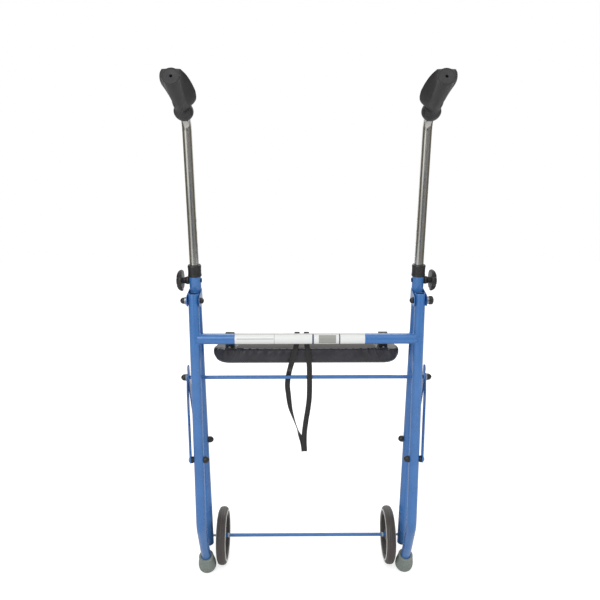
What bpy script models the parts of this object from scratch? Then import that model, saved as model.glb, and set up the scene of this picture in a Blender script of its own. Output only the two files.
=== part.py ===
"""Folding walker with two front wheels and a flip seat, built folded and standing on the floor.

Metres, +Z up. +Y is the way the user walks, +X is the user's right, the floor is z = 0.
The front frame is fixed. The rear frame, the links, the seat, the handles, the knobs and the
wheels each hang on an empty that lies on their joint's axis.
"""

import math

import bmesh
import bpy
from mathutils import Matrix, Vector

# Driving dimensions, in metres and degrees. Heights are above the floor with the walker folded.
GAP = 0.0003                 # space kept between two pieces that touch
TRACK = 0.470                # between the left and right leg centre lines
LEG_TUBE = 0.022             # outside diameters and walls of the tubes
LEG_WALL = 0.0012
BAR_TUBE = 0.022
BAR_WALL = 0.0012
HANDLE_WALL = 0.0012
SLEEVE_WALL = 0.0010         # hinge socket's sleeve round the front leg
ROD = 0.008                  # link cross rod and axle rod
BOLT = 0.006                 # every through bolt
TUBE_SIDES = 16

HINGE_Y = -0.02145           # fold hinge
HINGE_Z = 0.672
LEG_SPREAD = 0.032           # from the hinge forward to the front leg's centre line
FRONT_LEAN = math.radians(3.56)
REAR_LEAN = math.radians(3.33)
REAR_BEND = math.radians(27.0)
REAR_BEND_Z = 0.157
REAR_BEND_RADIUS = 0.060
REAR_TOP = 0.0150            # rear tube above the hinge bolt
FRONT_BAR_Z = 0.578
REAR_BAR_Z = 0.590

WHEEL_RADIUS = 0.067
WHEEL_SIDES = 32
WHEEL_INSET = 0.035          # from the leg's centre line in to the wheel's centre plane
TYRE_WIDTH = 0.021
RIM_RADIUS = 0.0525
RIM_WIDTH = 0.019
RIM_WALL = 0.006
WEB_THICKNESS = 0.006
HUB_RADIUS = 0.014
HUB_WIDTH = 0.030
BUSH_WALL = 0.0018
SPOKES = 5
FRONT_FOOT = 0.020           # front tube below the axle
PLUG_DEPTH = 0.012
PLUG_HEAD = 0.003
AXLE_GRIP = 0.012            # axle bolt inside the axle rod
AXLE_ROD_WALL = 0.0024       # round the axle bolt, at the rod's swollen ends
AXLE_HEAD_RADIUS = 0.0065
AXLE_HEAD = 0.005

TIP_SIDES = 20
TIP_SOLE_RADIUS = 0.0185
TIP_RADIUS = 0.0208
TIP_MOUTH_WALL = 0.0042
TIP_HEIGHT = 0.050
TIP_FLOOR = 0.009

COLLAR_BOTTOM_Z = 0.718
COLLAR_HEIGHT = 0.0248
COLLAR_WALL = 0.0018
COLLAR_LIP = 0.0032
KNOB_Z = 0.709
HOLE_PITCH = 0.0254          # adjusting holes in the handle tube
HOLE_DIAMETER = 0.0068
HOLES_UP = 5
HOLES_DOWN = 2
TUBE_BELOW_HOLES = 0.020
HANDLE_CORNER_Z = 1.0333
HANDLE_BEND_RADIUS = 0.036
GRIP_TILT = math.radians(25.1)
BALL_SETBACK = 0.030         # from the tube's corner to the centre of the grip's ball
BALL_RADIUS = 0.0188
BALL_FRONT = 0.0125
BALL_NECK = 0.0135
GRIP_RADIUS = 0.0148
GRIP_END = 0.122             # from the ball's centre to the end face
GRIP_END_WALL = 0.014
GRIP_WING = 0.016            # palm plate past the grip's round core, inner side
GRIP_FLARE = 0.0094          # and on the outer side
PALM_EDGE_NECK = 0.0034      # height of the plate's edge over the grip's axis at the neck
PALM_EDGE_END = 0.0118       # and at the end face
PALM_CREASE_NECK = 85        # degrees below level where the plate leaves the core at the neck
PALM_CREASE_END = 12         # and at the end face
GRIP_DISC_RADIUS = 0.0100
GRIP_DISC_DEPTH = 0.0010
GRIP_HOLE_RADIUS = 0.0028
GRIP_HOLE_DEPTH = 0.009
GRIP_MOUTH = 0.0017          # extra bore radius where the tube still bends

KNOB_RADIUS = 0.0215
KNOB_LOBES = 5
KNOB_LOBE = 0.0022
KNOB_HEAD = 0.0127
KNOB_NECK = 0.0087
KNOB_NECK_RADIUS = 0.0066
KNOB_FLANGE = 0.0045
KNOB_FLANGE_RADIUS = 0.0086
KNOB_SCREW = 0.006
NUT_RADIUS = 0.0052
NUT_HEIGHT = 0.0015

SOCKET_BOTTOM_Z = 0.660     # lower end of the hinge socket's sleeve
EAR_PLATE = 0.0024           # two ears of the socket, one on each side of the rear tube
EAR_RADIUS = 0.0125          # ears' round ends about the hinge
EAR_TOP_Z = 0.690
WASHER_THICKNESS = 0.0046
WASHER_RADIUS = 0.008
HINGE_CAP_RADIUS = (0.0067, 0.0090)
HINGE_CAP = (0.0090, 0.0118)
HINGE_HEAD_RADIUS = 0.0065
HINGE_HEAD = 0.0076

LINK_WIDTH = 0.016
LINK_THICKNESS = 0.0028
LINK_STAND_OFF = 0.008       # front link off the leg's side
LINK_TAIL = 0.0225            # front link past the knuckle
KNUCKLE_AHEAD = 0.0195       # knuckle forward of the hinge
KNUCKLE_Z = 0.495
FRONT_LINK_Z = 0.330
REAR_LINK_Z = 0.319
SPACER_RADIUS = 0.007
CAP_RADIUS = 0.0072
CAP_LENGTH = 0.0115
LINK_HEAD_RADIUS = 0.0065
LINK_HEAD = 0.0045
KNUCKLE_WASHER = 0.0014
KNUCKLE_WASHER_RADIUS = 0.0088

SEAT_ROOM = 0.0345           # from each leg's centre line to the seat's end
SEAT_DEPTH = 0.170
SEAT_THICKNESS = 0.031
SEAT_OVERHANG = 0.0235       # from the front crossbar's axis to the seat's front edge in use
SEAT_OFFSET = 0.0225         # from that axis to the board
SEAT_SLOPE = math.radians(10.0)
SEAT_CORNER = 0.034
SEAT_CROWN = 0.0015
SEAT_ROUND = 0.020           # how far the cover's rounded edge comes in at the top
CROWN_INSET = 0.064          # from the edge in to where the crown is full
CROWN_CORNER = 0.008
BOARD_INSET = 0.0045
BOARD_THICKNESS = 0.010
BOARD_CORNER = 0.028
CLIP_WIDTH = 0.019
CLIP_INSET = 0.0347          # from the seat's end to the clip's middle
CLIP_WALL = 0.0030
CLIP_BASE = 0.0040
CLIP_BASE_LENGTH = 0.038
CLIP_NECK = 0.016
CLIP_MOUTH = math.radians(70.0)
SCREW_SPACING = 0.028
SCREW_RADIUS = 0.0018
SCREW_LENGTH = 0.009
SCREW_HEAD_RADIUS = 0.0034
SCREW_HEAD = 0.0018

STRAP_WIDTH = 0.0115
STRAP_THICKNESS = 0.0014

# Places worked out from the dimensions above.
SIDES = ((-1, "left"), (1, "right"))
LEG_X = TRACK / 2
WHEEL_X = LEG_X - WHEEL_INSET
SEAT_WIDTH = TRACK - 2 * SEAT_ROOM
CLIP_SPACING = SEAT_WIDTH - 2 * CLIP_INSET
LEG_R = LEG_TUBE / 2
HANDLE_R = LEG_R - LEG_WALL - GAP
SLEEVE_R = LEG_R + GAP + SLEEVE_WALL
BAR_R = BAR_TUBE / 2
BOLT_R = BOLT / 2
BOLT_HOLE_R = BOLT_R + GAP
ROD_R = ROD / 2
AXLE_Z = WHEEL_RADIUS * math.cos(math.pi / WHEEL_SIDES)
LOWER_LEAN = REAR_BEND - REAR_LEAN
LINK_IN_X = LEG_X + LEG_R + LINK_STAND_OFF
LINK_OUT_X = LINK_IN_X + LINK_THICKNESS + GAP


def front_axis(z):
    """Point (y, z) of a front leg's centre line at height z."""
    return Vector((HINGE_Y + LEG_SPREAD + (HINGE_Z - z) * math.tan(FRONT_LEAN), z))


def rear_axis(z):
    """Point (y, z) of a rear leg's centre line at height z, above its bend."""
    return Vector((HINGE_Y - (HINGE_Z - z) * math.tan(REAR_LEAN), z))


def direction(lean):
    """Unit vector (y, z) that points up and leans towards the user by this angle."""
    return Vector((-math.sin(lean), math.cos(lean)))


HINGE = Vector((HINGE_Y, HINGE_Z))
AXLE = front_axis(AXLE_Z)
KNUCKLE = Vector((HINGE_Y + KNUCKLE_AHEAD, KNUCKLE_Z))
FRONT_BAR = front_axis(FRONT_BAR_Z)
REAR_BAR = rear_axis(REAR_BAR_Z)
FRONT_LINK = front_axis(FRONT_LINK_Z)
REAR_LINK = rear_axis(REAR_LINK_Z)
TIP_Z = TIP_SOLE_RADIUS * math.cos(math.pi / TIP_SIDES) * math.sin(LOWER_LEAN)
BEND = rear_axis(REAR_BEND_Z)
TIP = BEND - direction(LOWER_LEAN) * (REAR_BEND_Z - TIP_Z) / math.cos(LOWER_LEAN)
LEG_TOP_Z = COLLAR_BOTTOM_Z + (COLLAR_HEIGHT - COLLAR_LIP - GAP) * math.cos(FRONT_LEAN)
CORNER = front_axis(HANDLE_CORNER_Z)
GRIP_LEAN = math.pi / 2 - GRIP_TILT
BALL = CORNER + direction(GRIP_LEAN) * BALL_SETBACK
SIDE_VIEW = Matrix(((0, 0, 1, 0), (1, 0, 0, 0), (0, 1, 0, 0), (0, 0, 0, 1)))


def clear_scene():
    """Empties the scene."""
    for item in list(bpy.data.objects):
        bpy.data.objects.remove(item, do_unlink=True)


def material(name, colour, roughness, metallic=0.0):
    """Principled material of one colour, given as sRGB hex digits."""
    made = bpy.data.materials.new(name)
    made.use_nodes = True
    values = [int(colour[i:i + 2], 16) / 255 for i in (0, 2, 4)]
    linear = [v / 12.92 if v <= 0.04045 else ((v + 0.055) / 1.055) ** 2.4 for v in values]
    shader = made.node_tree.nodes["Principled BSDF"]
    shader.inputs["Base Color"].default_value = (*linear, 1.0)
    shader.inputs["Roughness"].default_value = roughness
    shader.inputs["Metallic"].default_value = metallic
    made.diffuse_color = (*linear, 1.0)
    return made


def joint_empty(name, x, point, lean=0.0, parent=None):
    """Empty on a joint's axis, at side x and point (y, z)."""
    empty = bpy.data.objects.new(name, None)
    bpy.context.scene.collection.objects.link(empty)
    empty.matrix_world = place(x, point, lean)
    if parent:
        hold(empty, parent)
    return empty


def place(x, point, lean=0.0, turn=0.0):
    """Matrix at side x and point (y, z): turned about its own Z, then leaned about X."""
    shift = Matrix.Translation((x, point[0], point[1]))
    return shift @ Matrix.Rotation(lean, 4, "X") @ Matrix.Rotation(turn, 4, "Z")


def across(x, point, side):
    """Matrix whose Z points outward to this side, at side x and point (y, z)."""
    return Matrix.Translation((x, point[0], point[1])) @ Matrix.Rotation(side * math.pi / 2, 4, "Y")


def hold(child, parent):
    """Parents a piece and keeps its place in the world."""
    bpy.context.view_layer.update()
    world = child.matrix_world.copy()
    child.parent = parent
    child.matrix_parent_inverse = parent.matrix_world.inverted()
    child.matrix_world = world


def add_piece(name, bm, look, matrix, parent=None):
    """Object from a bmesh, with its faces pointing out and round faces smooth."""
    bmesh.ops.recalc_face_normals(bm, faces=bm.faces)
    mesh = bpy.data.meshes.new(name)
    bm.to_mesh(mesh)
    bm.free()
    mesh.shade_smooth()
    mesh.set_sharp_from_angle(angle=math.radians(35))
    if look:
        mesh.materials.append(look)
    piece = bpy.data.objects.new(name, mesh)
    bpy.context.scene.collection.objects.link(piece)
    piece.matrix_world = matrix
    if parent:
        hold(piece, parent)
    return piece


def loft(bm, rings, closed=False):
    """Skins rings of points. A ring of one point is a pole, and open ends are capped."""
    rows = [[bm.verts.new(p) for p in ring] for ring in rings]
    pairs = list(zip(rows, rows[1:]))
    if closed:
        pairs.append((rows[-1], rows[0]))
    for low, high in pairs:
        count = max(len(low), len(high))
        for i in range(count):
            j = (i + 1) % count
            corners = [low[i % len(low)], low[j % len(low)], high[j % len(high)], high[i % len(high)]]
            unique = [v for k, v in enumerate(corners) if v not in corners[:k]]
            bm.faces.new(unique)
    if not closed:
        for row in (rows[0], rows[-1]):
            if len(row) > 2:
                bm.faces.new(row)


def circle(radius, z, sides, phase=0.5):
    """Ring of points about Z; a phase of a half puts a flat at each axis."""
    if radius == 0:
        return [Vector((0, 0, z))]
    steps = [2 * math.pi * (i + phase) / sides for i in range(sides)]
    return [Vector((radius * math.cos(a), radius * math.sin(a), z)) for a in steps]


def turned(profile, sides, closed=False):
    """Bmesh turned about Z from (radius, height) points."""
    bm = bmesh.new()
    loft(bm, [circle(r, z, sides) for r, z in profile], closed)
    return bm


def ring_solid(outer, inner, low, high, sides):
    """Plain tube about Z."""
    return turned([(outer, low), (outer, high), (inner, high), (inner, low)], sides, closed=True)


def dome(radius, start, length, steps=4):
    """Profile of a cap that runs straight for a third of its length and then rounds over."""
    straight = start + length * 0.35
    arc = [math.pi / 2 * i / steps for i in range(steps + 1)]
    return [(radius, start)] + [
        (radius * math.cos(a) if i < steps else 0, straight + length * 0.65 * math.sin(a))
        for i, a in enumerate(arc)
    ]


def prism(outline, low, high):
    """Bmesh of an outline (u, v) drawn in the XY plane, from low to high along Z."""
    bm = bmesh.new()
    loft(bm, [[Vector((u, v, z)) for u, v in outline] for z in (low, high)])
    return bm


def swept_tube(path, outer, inner, sides):
    """Hollow tube along points (y, z) of the side view, centred on x = 0."""
    frames = []
    for i, point in enumerate(path):
        before = path[max(i - 1, 0)]
        after = path[min(i + 1, len(path) - 1)]
        first = (point - before).normalized() if i else (after - point).normalized()
        second = (after - point).normalized() if i < len(path) - 1 else first
        along = (first + second).normalized()
        frames.append((point, Vector((-along.y, along.x)) / along.dot(first)))

    def rings(radius):
        made = []
        for point, normal in frames:
            flat = circle(radius, 0, sides)
            made.append([Vector((c.x, point.x + c.y * normal.x, point.y + c.y * normal.y)) for c in flat])
        return made

    bm = bmesh.new()
    loft(bm, rings(outer) + rings(inner)[::-1], closed=True)
    return bm


def fillet(corner, start, end, radius, steps):
    """Points of an arc that rounds a corner of a path, from start towards end."""
    back = (start - corner).normalized()
    ahead = (end - corner).normalized()
    half = math.acos(max(-1.0, min(1.0, back.dot(ahead)))) / 2
    centre = corner + (back + ahead).normalized() * radius / math.sin(half)
    first = corner + back * radius / math.tan(half) - centre
    last = corner + ahead * radius / math.tan(half) - centre
    turn = math.atan2(first.x * last.y - first.y * last.x, first.dot(last))
    return [centre + Matrix.Rotation(turn * i / steps, 2) @ first for i in range(steps + 1)]


def cut(piece, bm, matrix, name, operation="DIFFERENCE"):
    """Cuts a piece with a hidden cutter made from a bmesh, or joins the two."""
    cutter = add_piece(name, bm, None, matrix)
    cutter.hide_render = True
    cutter.display_type = "WIRE"
    tool = piece.modifiers.new(name, "BOOLEAN")
    tool.operation = operation
    tool.solver = "EXACT"
    tool.object = cutter
    hold(cutter, piece)


def drill(piece, name, holes, sides=10):
    """Cuts cross holes, each (side view point, radius, low x, high x)."""
    bm = bmesh.new()
    for point, radius, low, high in holes:
        rings = []
        for x in (low, high):
            flat = circle(radius, 0, sides)
            rings.append([Vector((x, point[0] + c.x, point[1] + c.y)) for c in flat])
        loft(bm, rings)
    bmesh.ops.recalc_face_normals(bm, faces=bm.faces)
    cut(piece, bm, Matrix.Identity(4), name)


def rounded(half_x, half_y, radius, steps=5):
    """Outline of a rectangle with round corners, about the origin."""
    points = []
    for quarter, (sx, sy) in enumerate(((1, 1), (-1, 1), (-1, -1), (1, -1))):
        for i in range(steps + 1):
            angle = math.pi / 2 * (quarter + i / steps)
            x = sx * (half_x - radius) + radius * math.cos(angle)
            y = sy * (half_y - radius) + radius * math.sin(angle)
            points.append((x, y))
    return points


def make_looks():
    """One material for each kind of finish."""
    return {
        "blue": material("blue_powder_coat", "4a7ab8", 0.35),
        "chrome": material("chrome_plate", "c9cbc8", 0.12, 1.0),
        "black": material("black_plastic", "2f2f31", 0.5),
        "grip": material("grip_rubber", "3e3d3e", 0.7),
        "tip": material("grey_rubber", "7b837d", 0.8),
        "tyre": material("tyre_rubber", "45423f", 0.75),
        "rim": material("rim_plastic", "4b4845", 0.5),
        "steel": material("zinc_steel", "9b9d9c", 0.35, 1.0),
        "nylon": material("white_nylon", "d9dad6", 0.5),
        "vinyl": material("black_vinyl", "3b3b3e", 0.45),
        "board": material("plywood", "a58a63", 0.7),
        "webbing": material("black_webbing", "2c2b2b", 0.9),
    }


def front_leg(side, word, looks):
    """Straight tube from below the axle to the collar, with its end plug and the clamp's nut."""
    top = (LEG_TOP_Z - AXLE_Z) / math.cos(FRONT_LEAN)
    tube = ring_solid(LEG_R, LEG_R - LEG_WALL, -FRONT_FOOT, top, TUBE_SIDES)
    matrix = place(side * LEG_X, AXLE, FRONT_LEAN)
    leg = add_piece(f"front_leg_{word}", tube, looks["blue"], matrix)
    through = (side * LEG_X - LEG_TUBE, side * LEG_X + LEG_TUBE)
    holes = [(AXLE, BOLT_HOLE_R, *through), (FRONT_LINK, BOLT_HOLE_R, *through), knob_hole(side)]
    drill(leg, f"front_leg_{word}_holes", holes)

    bore = LEG_R - LEG_WALL - GAP
    end = -FRONT_FOOT - GAP
    plug = turned([(LEG_R * 0.9, end - PLUG_HEAD), (LEG_R, end - PLUG_HEAD * 0.6), (LEG_R, end),
                   (bore, end), (bore, end + PLUG_DEPTH)], TUBE_SIDES)
    add_piece(f"front_leg_plug_{word}", plug, looks["black"], matrix)

    nut = turned([(NUT_RADIUS, 0), (NUT_RADIUS, NUT_HEIGHT * 0.7), (NUT_RADIUS * 0.7, NUT_HEIGHT)], 6)
    where = side * (LEG_X - SLEEVE_R - GAP)
    add_piece(f"clamp_nut_{word}", nut, looks["steel"], across(where, front_axis(KNOB_Z), -side))


def knob_hole(side):
    """Hole for the clamp screw, through the outer walls only."""
    low, high = sorted((side * LEG_X, side * (LEG_X + 2 * SLEEVE_R)))
    return (front_axis(KNOB_Z), KNOB_SCREW / 2 + GAP, low, high)


def collar(side, word, looks):
    """Plastic collar over the sleeve's top end, with a lip round the handle tube."""
    skirt = SLEEVE_R + GAP
    outer = skirt + COLLAR_WALL
    mouth = HANDLE_R + GAP
    ledge = COLLAR_HEIGHT - COLLAR_LIP
    profile = [(skirt, 0), (outer - 0.0008, 0), (outer - 0.0002, 0.002), (outer - 0.0005, ledge * 0.6),
               (outer, COLLAR_HEIGHT - 0.0018), (outer - 0.0014, COLLAR_HEIGHT),
               (mouth, COLLAR_HEIGHT), (mouth, ledge), (skirt, ledge)]
    matrix = place(side * LEG_X, front_axis(COLLAR_BOTTOM_Z), FRONT_LEAN)
    add_piece(f"collar_{word}", turned(profile, 20, closed=True), looks["black"], matrix)


def along_leg(z):
    """Distance up the front leg's direction from the hinge to the point of its axis at height z."""
    return (front_axis(z) - HINGE).dot(direction(FRONT_LEAN))


def hinge_socket(side, word, looks):
    """Sleeve round the front leg with two welded ears that hold the rear tube's top end."""
    forward = LEG_SPREAD * math.cos(FRONT_LEAN)
    low = along_leg(SOCKET_BOTTOM_Z)
    high = along_leg(LEG_TOP_Z)
    at_hinge = place(side * LEG_X, HINGE, FRONT_LEAN)
    on_axis = at_hinge @ Matrix.Translation((0, forward, 0))
    sleeve = turned([(SLEEVE_R, low), (SLEEVE_R, high)], 20)
    socket = add_piece(f"hinge_socket_{word}", sleeve, looks["blue"], on_axis)

    slot = LEG_R + GAP
    half = slot + EAR_PLATE
    rear = [math.radians(a) for a in range(100, 301, 20)]
    outline = [(EAR_RADIUS * math.cos(a), EAR_RADIUS * math.sin(a)) for a in rear]
    outline += [(forward, low + 0.001), (forward, along_leg(EAR_TOP_Z))]
    ears = bmesh.new()
    for low_x, high_x in ((-half, -slot), (slot, half)):
        loft(ears, [[Vector((u, v, x)) for u, v in outline] for x in (low_x, high_x)])
    bmesh.ops.recalc_face_normals(ears, faces=ears.faces)
    cut(socket, ears, at_hinge @ SIDE_VIEW, f"hinge_socket_{word}_ears", "UNION")
    bore = turned([(LEG_R + GAP, low - LEG_TUBE), (LEG_R + GAP, high + LEG_TUBE)], TUBE_SIDES)
    cut(socket, bore, on_axis, f"hinge_socket_{word}_bore")
    wide = 2 * half
    drill(socket, f"hinge_socket_{word}_holes",
          [(HINGE, BOLT_HOLE_R, side * LEG_X - wide, side * LEG_X + wide), knob_hole(side)])

    face = half + GAP
    cap = HINGE_CAP[side > 0]
    radius = HINGE_CAP_RADIUS[side > 0]
    profile = [(0, -face - HINGE_HEAD), (HINGE_HEAD_RADIUS * 0.6, -face - HINGE_HEAD),
               (HINGE_HEAD_RADIUS * 0.92, -face - HINGE_HEAD * 0.75), (HINGE_HEAD_RADIUS, -face - HINGE_HEAD * 0.4),
               (HINGE_HEAD_RADIUS, -face), (BOLT_R, -face), (BOLT_R, face), (WASHER_RADIUS, face),
               (WASHER_RADIUS, face + WASHER_THICKNESS)]
    profile += dome(radius, face + WASHER_THICKNESS, cap)
    add_piece(f"hinge_bolt_{word}", turned(profile, 12), looks["black"], across(side * LEG_X, HINGE, side))


def crossbar(name, point, leg_lean, looks, parent=None):
    """Tube between two legs, with its ends shaped to the legs' round sides."""
    end = LEG_X - LEG_R * 0.3
    bm = ring_solid(BAR_R, BAR_R - BAR_WALL, -end, end, TUBE_SIDES)
    turn = Matrix.Rotation(math.pi / 2, 4, "Y")
    bar = add_piece(name, bm, looks["blue"], place(0, point) @ turn, parent)
    tool = bmesh.new()
    for side, _ in SIDES:
        rings = []
        for z in (-BAR_TUBE, BAR_TUBE):
            rings.append([c + Vector((side * LEG_X, 0, 0)) for c in circle(LEG_R + GAP, z, TUBE_SIDES)])
        loft(tool, rings)
    bmesh.ops.recalc_face_normals(tool, faces=tool.faces)
    cut(bar, tool, place(0, point, leg_lean), f"{name}_ends")
    return bar


def axle(side, word, looks):
    """Axle bolt through the leg and the wheel into the end of the axle rod."""
    seat = LEG_X + LEG_R + GAP
    tip = WHEEL_X - HUB_WIDTH / 2 - GAP - AXLE_GRIP
    profile = [(0, tip), (BOLT_R, tip), (BOLT_R, seat), (AXLE_HEAD_RADIUS, seat)]
    profile += dome(AXLE_HEAD_RADIUS, seat, AXLE_HEAD)[1:]
    add_piece(f"axle_bolt_{word}", turned(profile, 14), looks["black"], across(0, AXLE, side))


def axle_rod(looks):
    """Thin rod from wheel to wheel, swollen and bored at both ends for the axle bolts."""
    end = WHEEL_X - HUB_WIDTH / 2 - GAP
    bore = BOLT_HOLE_R
    sleeve = bore + AXLE_ROD_WALL
    deep = end - AXLE_GRIP - GAP
    half = [(0, deep), (bore, deep), (bore, end), (sleeve, end), (sleeve, end - AXLE_GRIP * 1.2),
            (ROD_R, end - AXLE_GRIP * 1.6)]
    mirror = [(r, -z) for r, z in reversed(half)]
    add_piece("axle_rod", turned(half + mirror, 14), looks["blue"], across(0, AXLE, 1))


def wheel(side, word, looks):
    """Tyre on a spoked rim with a bush, turning on the axle bolt."""
    spin = joint_empty(f"wheel_{word}_axis", side * WHEEL_X, AXLE)
    matrix = across(side * WHEEL_X, AXLE, side)
    half = TYRE_WIDTH / 2
    seat = RIM_RADIUS + GAP
    height = WHEEL_RADIUS - seat
    edge = [(seat, RIM_WIDTH / 2), (seat + height * 0.4, half), (seat + height * 0.84, half * 0.82),
            (WHEEL_RADIUS, half * 0.34)]
    profile = edge + [(r, -z) for r, z in reversed(edge)]
    tyre = turned(profile, WHEEL_SIDES, closed=True)
    add_piece(f"tyre_{word}", tyre, looks["tyre"], matrix, spin)

    bore = BOLT_HOLE_R + BUSH_WALL + GAP
    inner = RIM_RADIUS - RIM_WALL
    edge = [(bore, HUB_WIDTH / 2), (HUB_RADIUS * 0.9, HUB_WIDTH / 2), (HUB_RADIUS, WEB_THICKNESS / 2),
            (inner, WEB_THICKNESS / 2), (inner, RIM_WIDTH / 2), (RIM_RADIUS, RIM_WIDTH / 2)]
    profile = edge + [(r, -z) for r, z in reversed(edge)]
    rim = add_piece(f"rim_{word}", turned(profile, WHEEL_SIDES, closed=True), looks["rim"], matrix, spin)
    windows = bmesh.new()
    near = HUB_RADIUS * 1.3
    far = inner * 0.92
    for spoke in range(SPOKES):
        middle = 2 * math.pi * spoke / SPOKES
        outline = [(near, middle - 0.22), (far, middle - 0.46), (far, middle - 0.15),
                   (far, middle + 0.15), (far, middle + 0.46), (near, middle + 0.22)]
        flat = [(r * math.cos(a), r * math.sin(a)) for r, a in outline]
        loft(windows, [[Vector((u, v, z)) for u, v in flat] for z in (-WEB_THICKNESS, WEB_THICKNESS)])
    bmesh.ops.recalc_face_normals(windows, faces=windows.faces)
    cut(rim, windows, matrix, f"rim_{word}_windows")

    bush = ring_solid(bore - GAP, BOLT_HOLE_R, -HUB_WIDTH / 2, HUB_WIDTH / 2, 14)
    add_piece(f"wheel_bush_{word}", bush, looks["nylon"], matrix, spin)


def rear_leg(side, word, looks, parent):
    """Rear tube from the hinge down to the rubber tip, bent forward near the floor."""
    top = HINGE + direction(-REAR_LEAN) * REAR_TOP
    end = TIP + direction(LOWER_LEAN) * (TIP_FLOOR + GAP)
    path = [top] + fillet(BEND, top, end, REAR_BEND_RADIUS, 3) + [end]
    tube = swept_tube([p - HINGE for p in path], LEG_R, LEG_R - LEG_WALL, TUBE_SIDES)
    leg = add_piece(f"rear_leg_{word}", tube, looks["blue"], place(side * LEG_X, HINGE), parent)
    through = (side * LEG_X - LEG_TUBE, side * LEG_X + LEG_TUBE)
    drill(leg, f"rear_leg_{word}_holes", [(HINGE, BOLT_HOLE_R, *through), (REAR_LINK, BOLT_HOLE_R, *through)])

    bore = LEG_R + GAP
    mouth = bore + TIP_MOUTH_WALL
    profile = [(TIP_SOLE_RADIUS, 0), (TIP_RADIUS * 0.985, 0.004), (TIP_RADIUS, 0.010),
               (TIP_RADIUS * 0.97, TIP_HEIGHT * 0.42), (TIP_RADIUS * 0.86, TIP_HEIGHT * 0.72),
               (mouth, TIP_HEIGHT * 0.93), (mouth - 0.0012, TIP_HEIGHT),
               (bore, TIP_HEIGHT), (bore, TIP_FLOOR)]
    matrix = place(side * LEG_X, TIP, LOWER_LEAN)
    add_piece(f"rear_tip_{word}", turned(profile, TIP_SIDES), looks["tip"], matrix, parent)


def link_bar(length, tail):
    """Flat bar outline with round ends, from its bolt at the origin up to length + tail."""
    half = LINK_WIDTH / 2
    arc = [math.pi * i / 6 for i in range(7)]
    low = [(half * math.cos(math.pi + a), half * math.sin(math.pi + a)) for a in arc]
    high = [(half * math.cos(a), length + tail + half * math.sin(a)) for a in arc]
    return low + high


def link(name, side, start, inner_x, tail, knuckle_hole, looks, parent):
    """One flat link in the plane that starts at inner_x, from its leg bolt to the knuckle."""
    reach = KNUCKLE - start
    lean = math.atan2(-reach.x, reach.y)
    low, high = sorted((side * inner_x, side * (inner_x + LINK_THICKNESS)))
    bar = add_piece(name, prism(link_bar(reach.length, tail), low, high), looks["blue"],
                    place(0, start, lean) @ SIDE_VIEW, parent)
    holes = [(start, BOLT_HOLE_R), (KNUCKLE, knuckle_hole)]
    drill(bar, f"{name}_holes", [(*hole, low - LINK_THICKNESS, high + LINK_THICKNESS) for hole in holes])


def link_bolt(name, side, point, inner_face, head_face, looks, parent=None):
    """Bolt through a leg and a link, with a dome cap inside and a low head outside."""
    cap = [(r, -z) for r, z in reversed(dome(CAP_RADIUS, -inner_face, CAP_LENGTH))]
    head = [(LINK_HEAD_RADIUS, head_face), (LINK_HEAD_RADIUS, head_face + LINK_HEAD * 0.4),
            (LINK_HEAD_RADIUS * 0.6, head_face + LINK_HEAD), (0, head_face + LINK_HEAD)]
    profile = cap + [(BOLT_R, inner_face), (BOLT_R, head_face)] + head
    bolt = turned(profile, 12)
    add_piece(name, bolt, looks["black"], across(0, point, side), parent)


def link_spacer(name, side, point, far, looks, parent=None):
    """Spacer round a link bolt, between the leg's side and the link."""
    spacer = ring_solid(SPACER_RADIUS, BOLT_HOLE_R, LEG_X + LEG_R + GAP, far - GAP, 12)
    add_piece(name, spacer, looks["black"], across(0, point, side), parent)


def knuckle_cap(side, word, looks, parent):
    """Washer and dome cap outside the knuckle, on a pin that fills the rear link's hole."""
    seat = LINK_OUT_X + LINK_THICKNESS + GAP
    profile = [(0, LINK_OUT_X), (BOLT_R, LINK_OUT_X), (BOLT_R, seat), (KNUCKLE_WASHER_RADIUS, seat),
               (KNUCKLE_WASHER_RADIUS, seat + KNUCKLE_WASHER)]
    profile += dome(CAP_RADIUS, seat + KNUCKLE_WASHER, CAP_LENGTH)
    cap = turned(profile, 12)
    add_piece(f"knuckle_cap_{word}", cap, looks["black"], across(0, KNUCKLE, side), parent)


def palm_point(turn, radius, width, edge, crease):
    """Point of the grip's section at a turn in degrees from level: round the core as far as the crease,
    straight out under the palm plate to its edge, and over its crown."""
    angle = math.radians(turn)
    if width == 0 or turn <= -crease:
        return radius * math.cos(angle), radius * math.sin(angle)
    if turn >= 0:
        return (radius + width) * math.cos(angle), edge + (radius - edge) * math.sin(angle)
    share = 1 + turn / crease
    fold = -math.radians(crease)
    return (radius * math.cos(fold) * (1 - share) + (radius + width) * share,
            radius * math.sin(fold) * (1 - share) + edge * share)


def grip_section(along, radius, wing, flare, inward, sides=TUBE_SIDES):
    """Ring of the grip: a round core under a palm plate that reaches inward by wing and outward by flare."""
    run = max(0.0, min(1.0, along / GRIP_END))
    edge = PALM_EDGE_NECK + (PALM_EDGE_END - PALM_EDGE_NECK) * run
    crease = PALM_CREASE_NECK + (PALM_CREASE_END - PALM_CREASE_NECK) * run
    points = []
    for i in range(sides):
        angle = 360 * (i + 0.5) / sides
        turn = angle if angle < 180 else angle - 360
        if -90 < turn < 90:
            u, v = palm_point(turn, radius, wing, edge, crease)
        else:
            u, v = palm_point(180 - turn if turn > 0 else -180 - turn, radius, flare, edge, crease)
            u = -u
        points.append(Vector((inward * u, v, along)))
    return points


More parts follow.
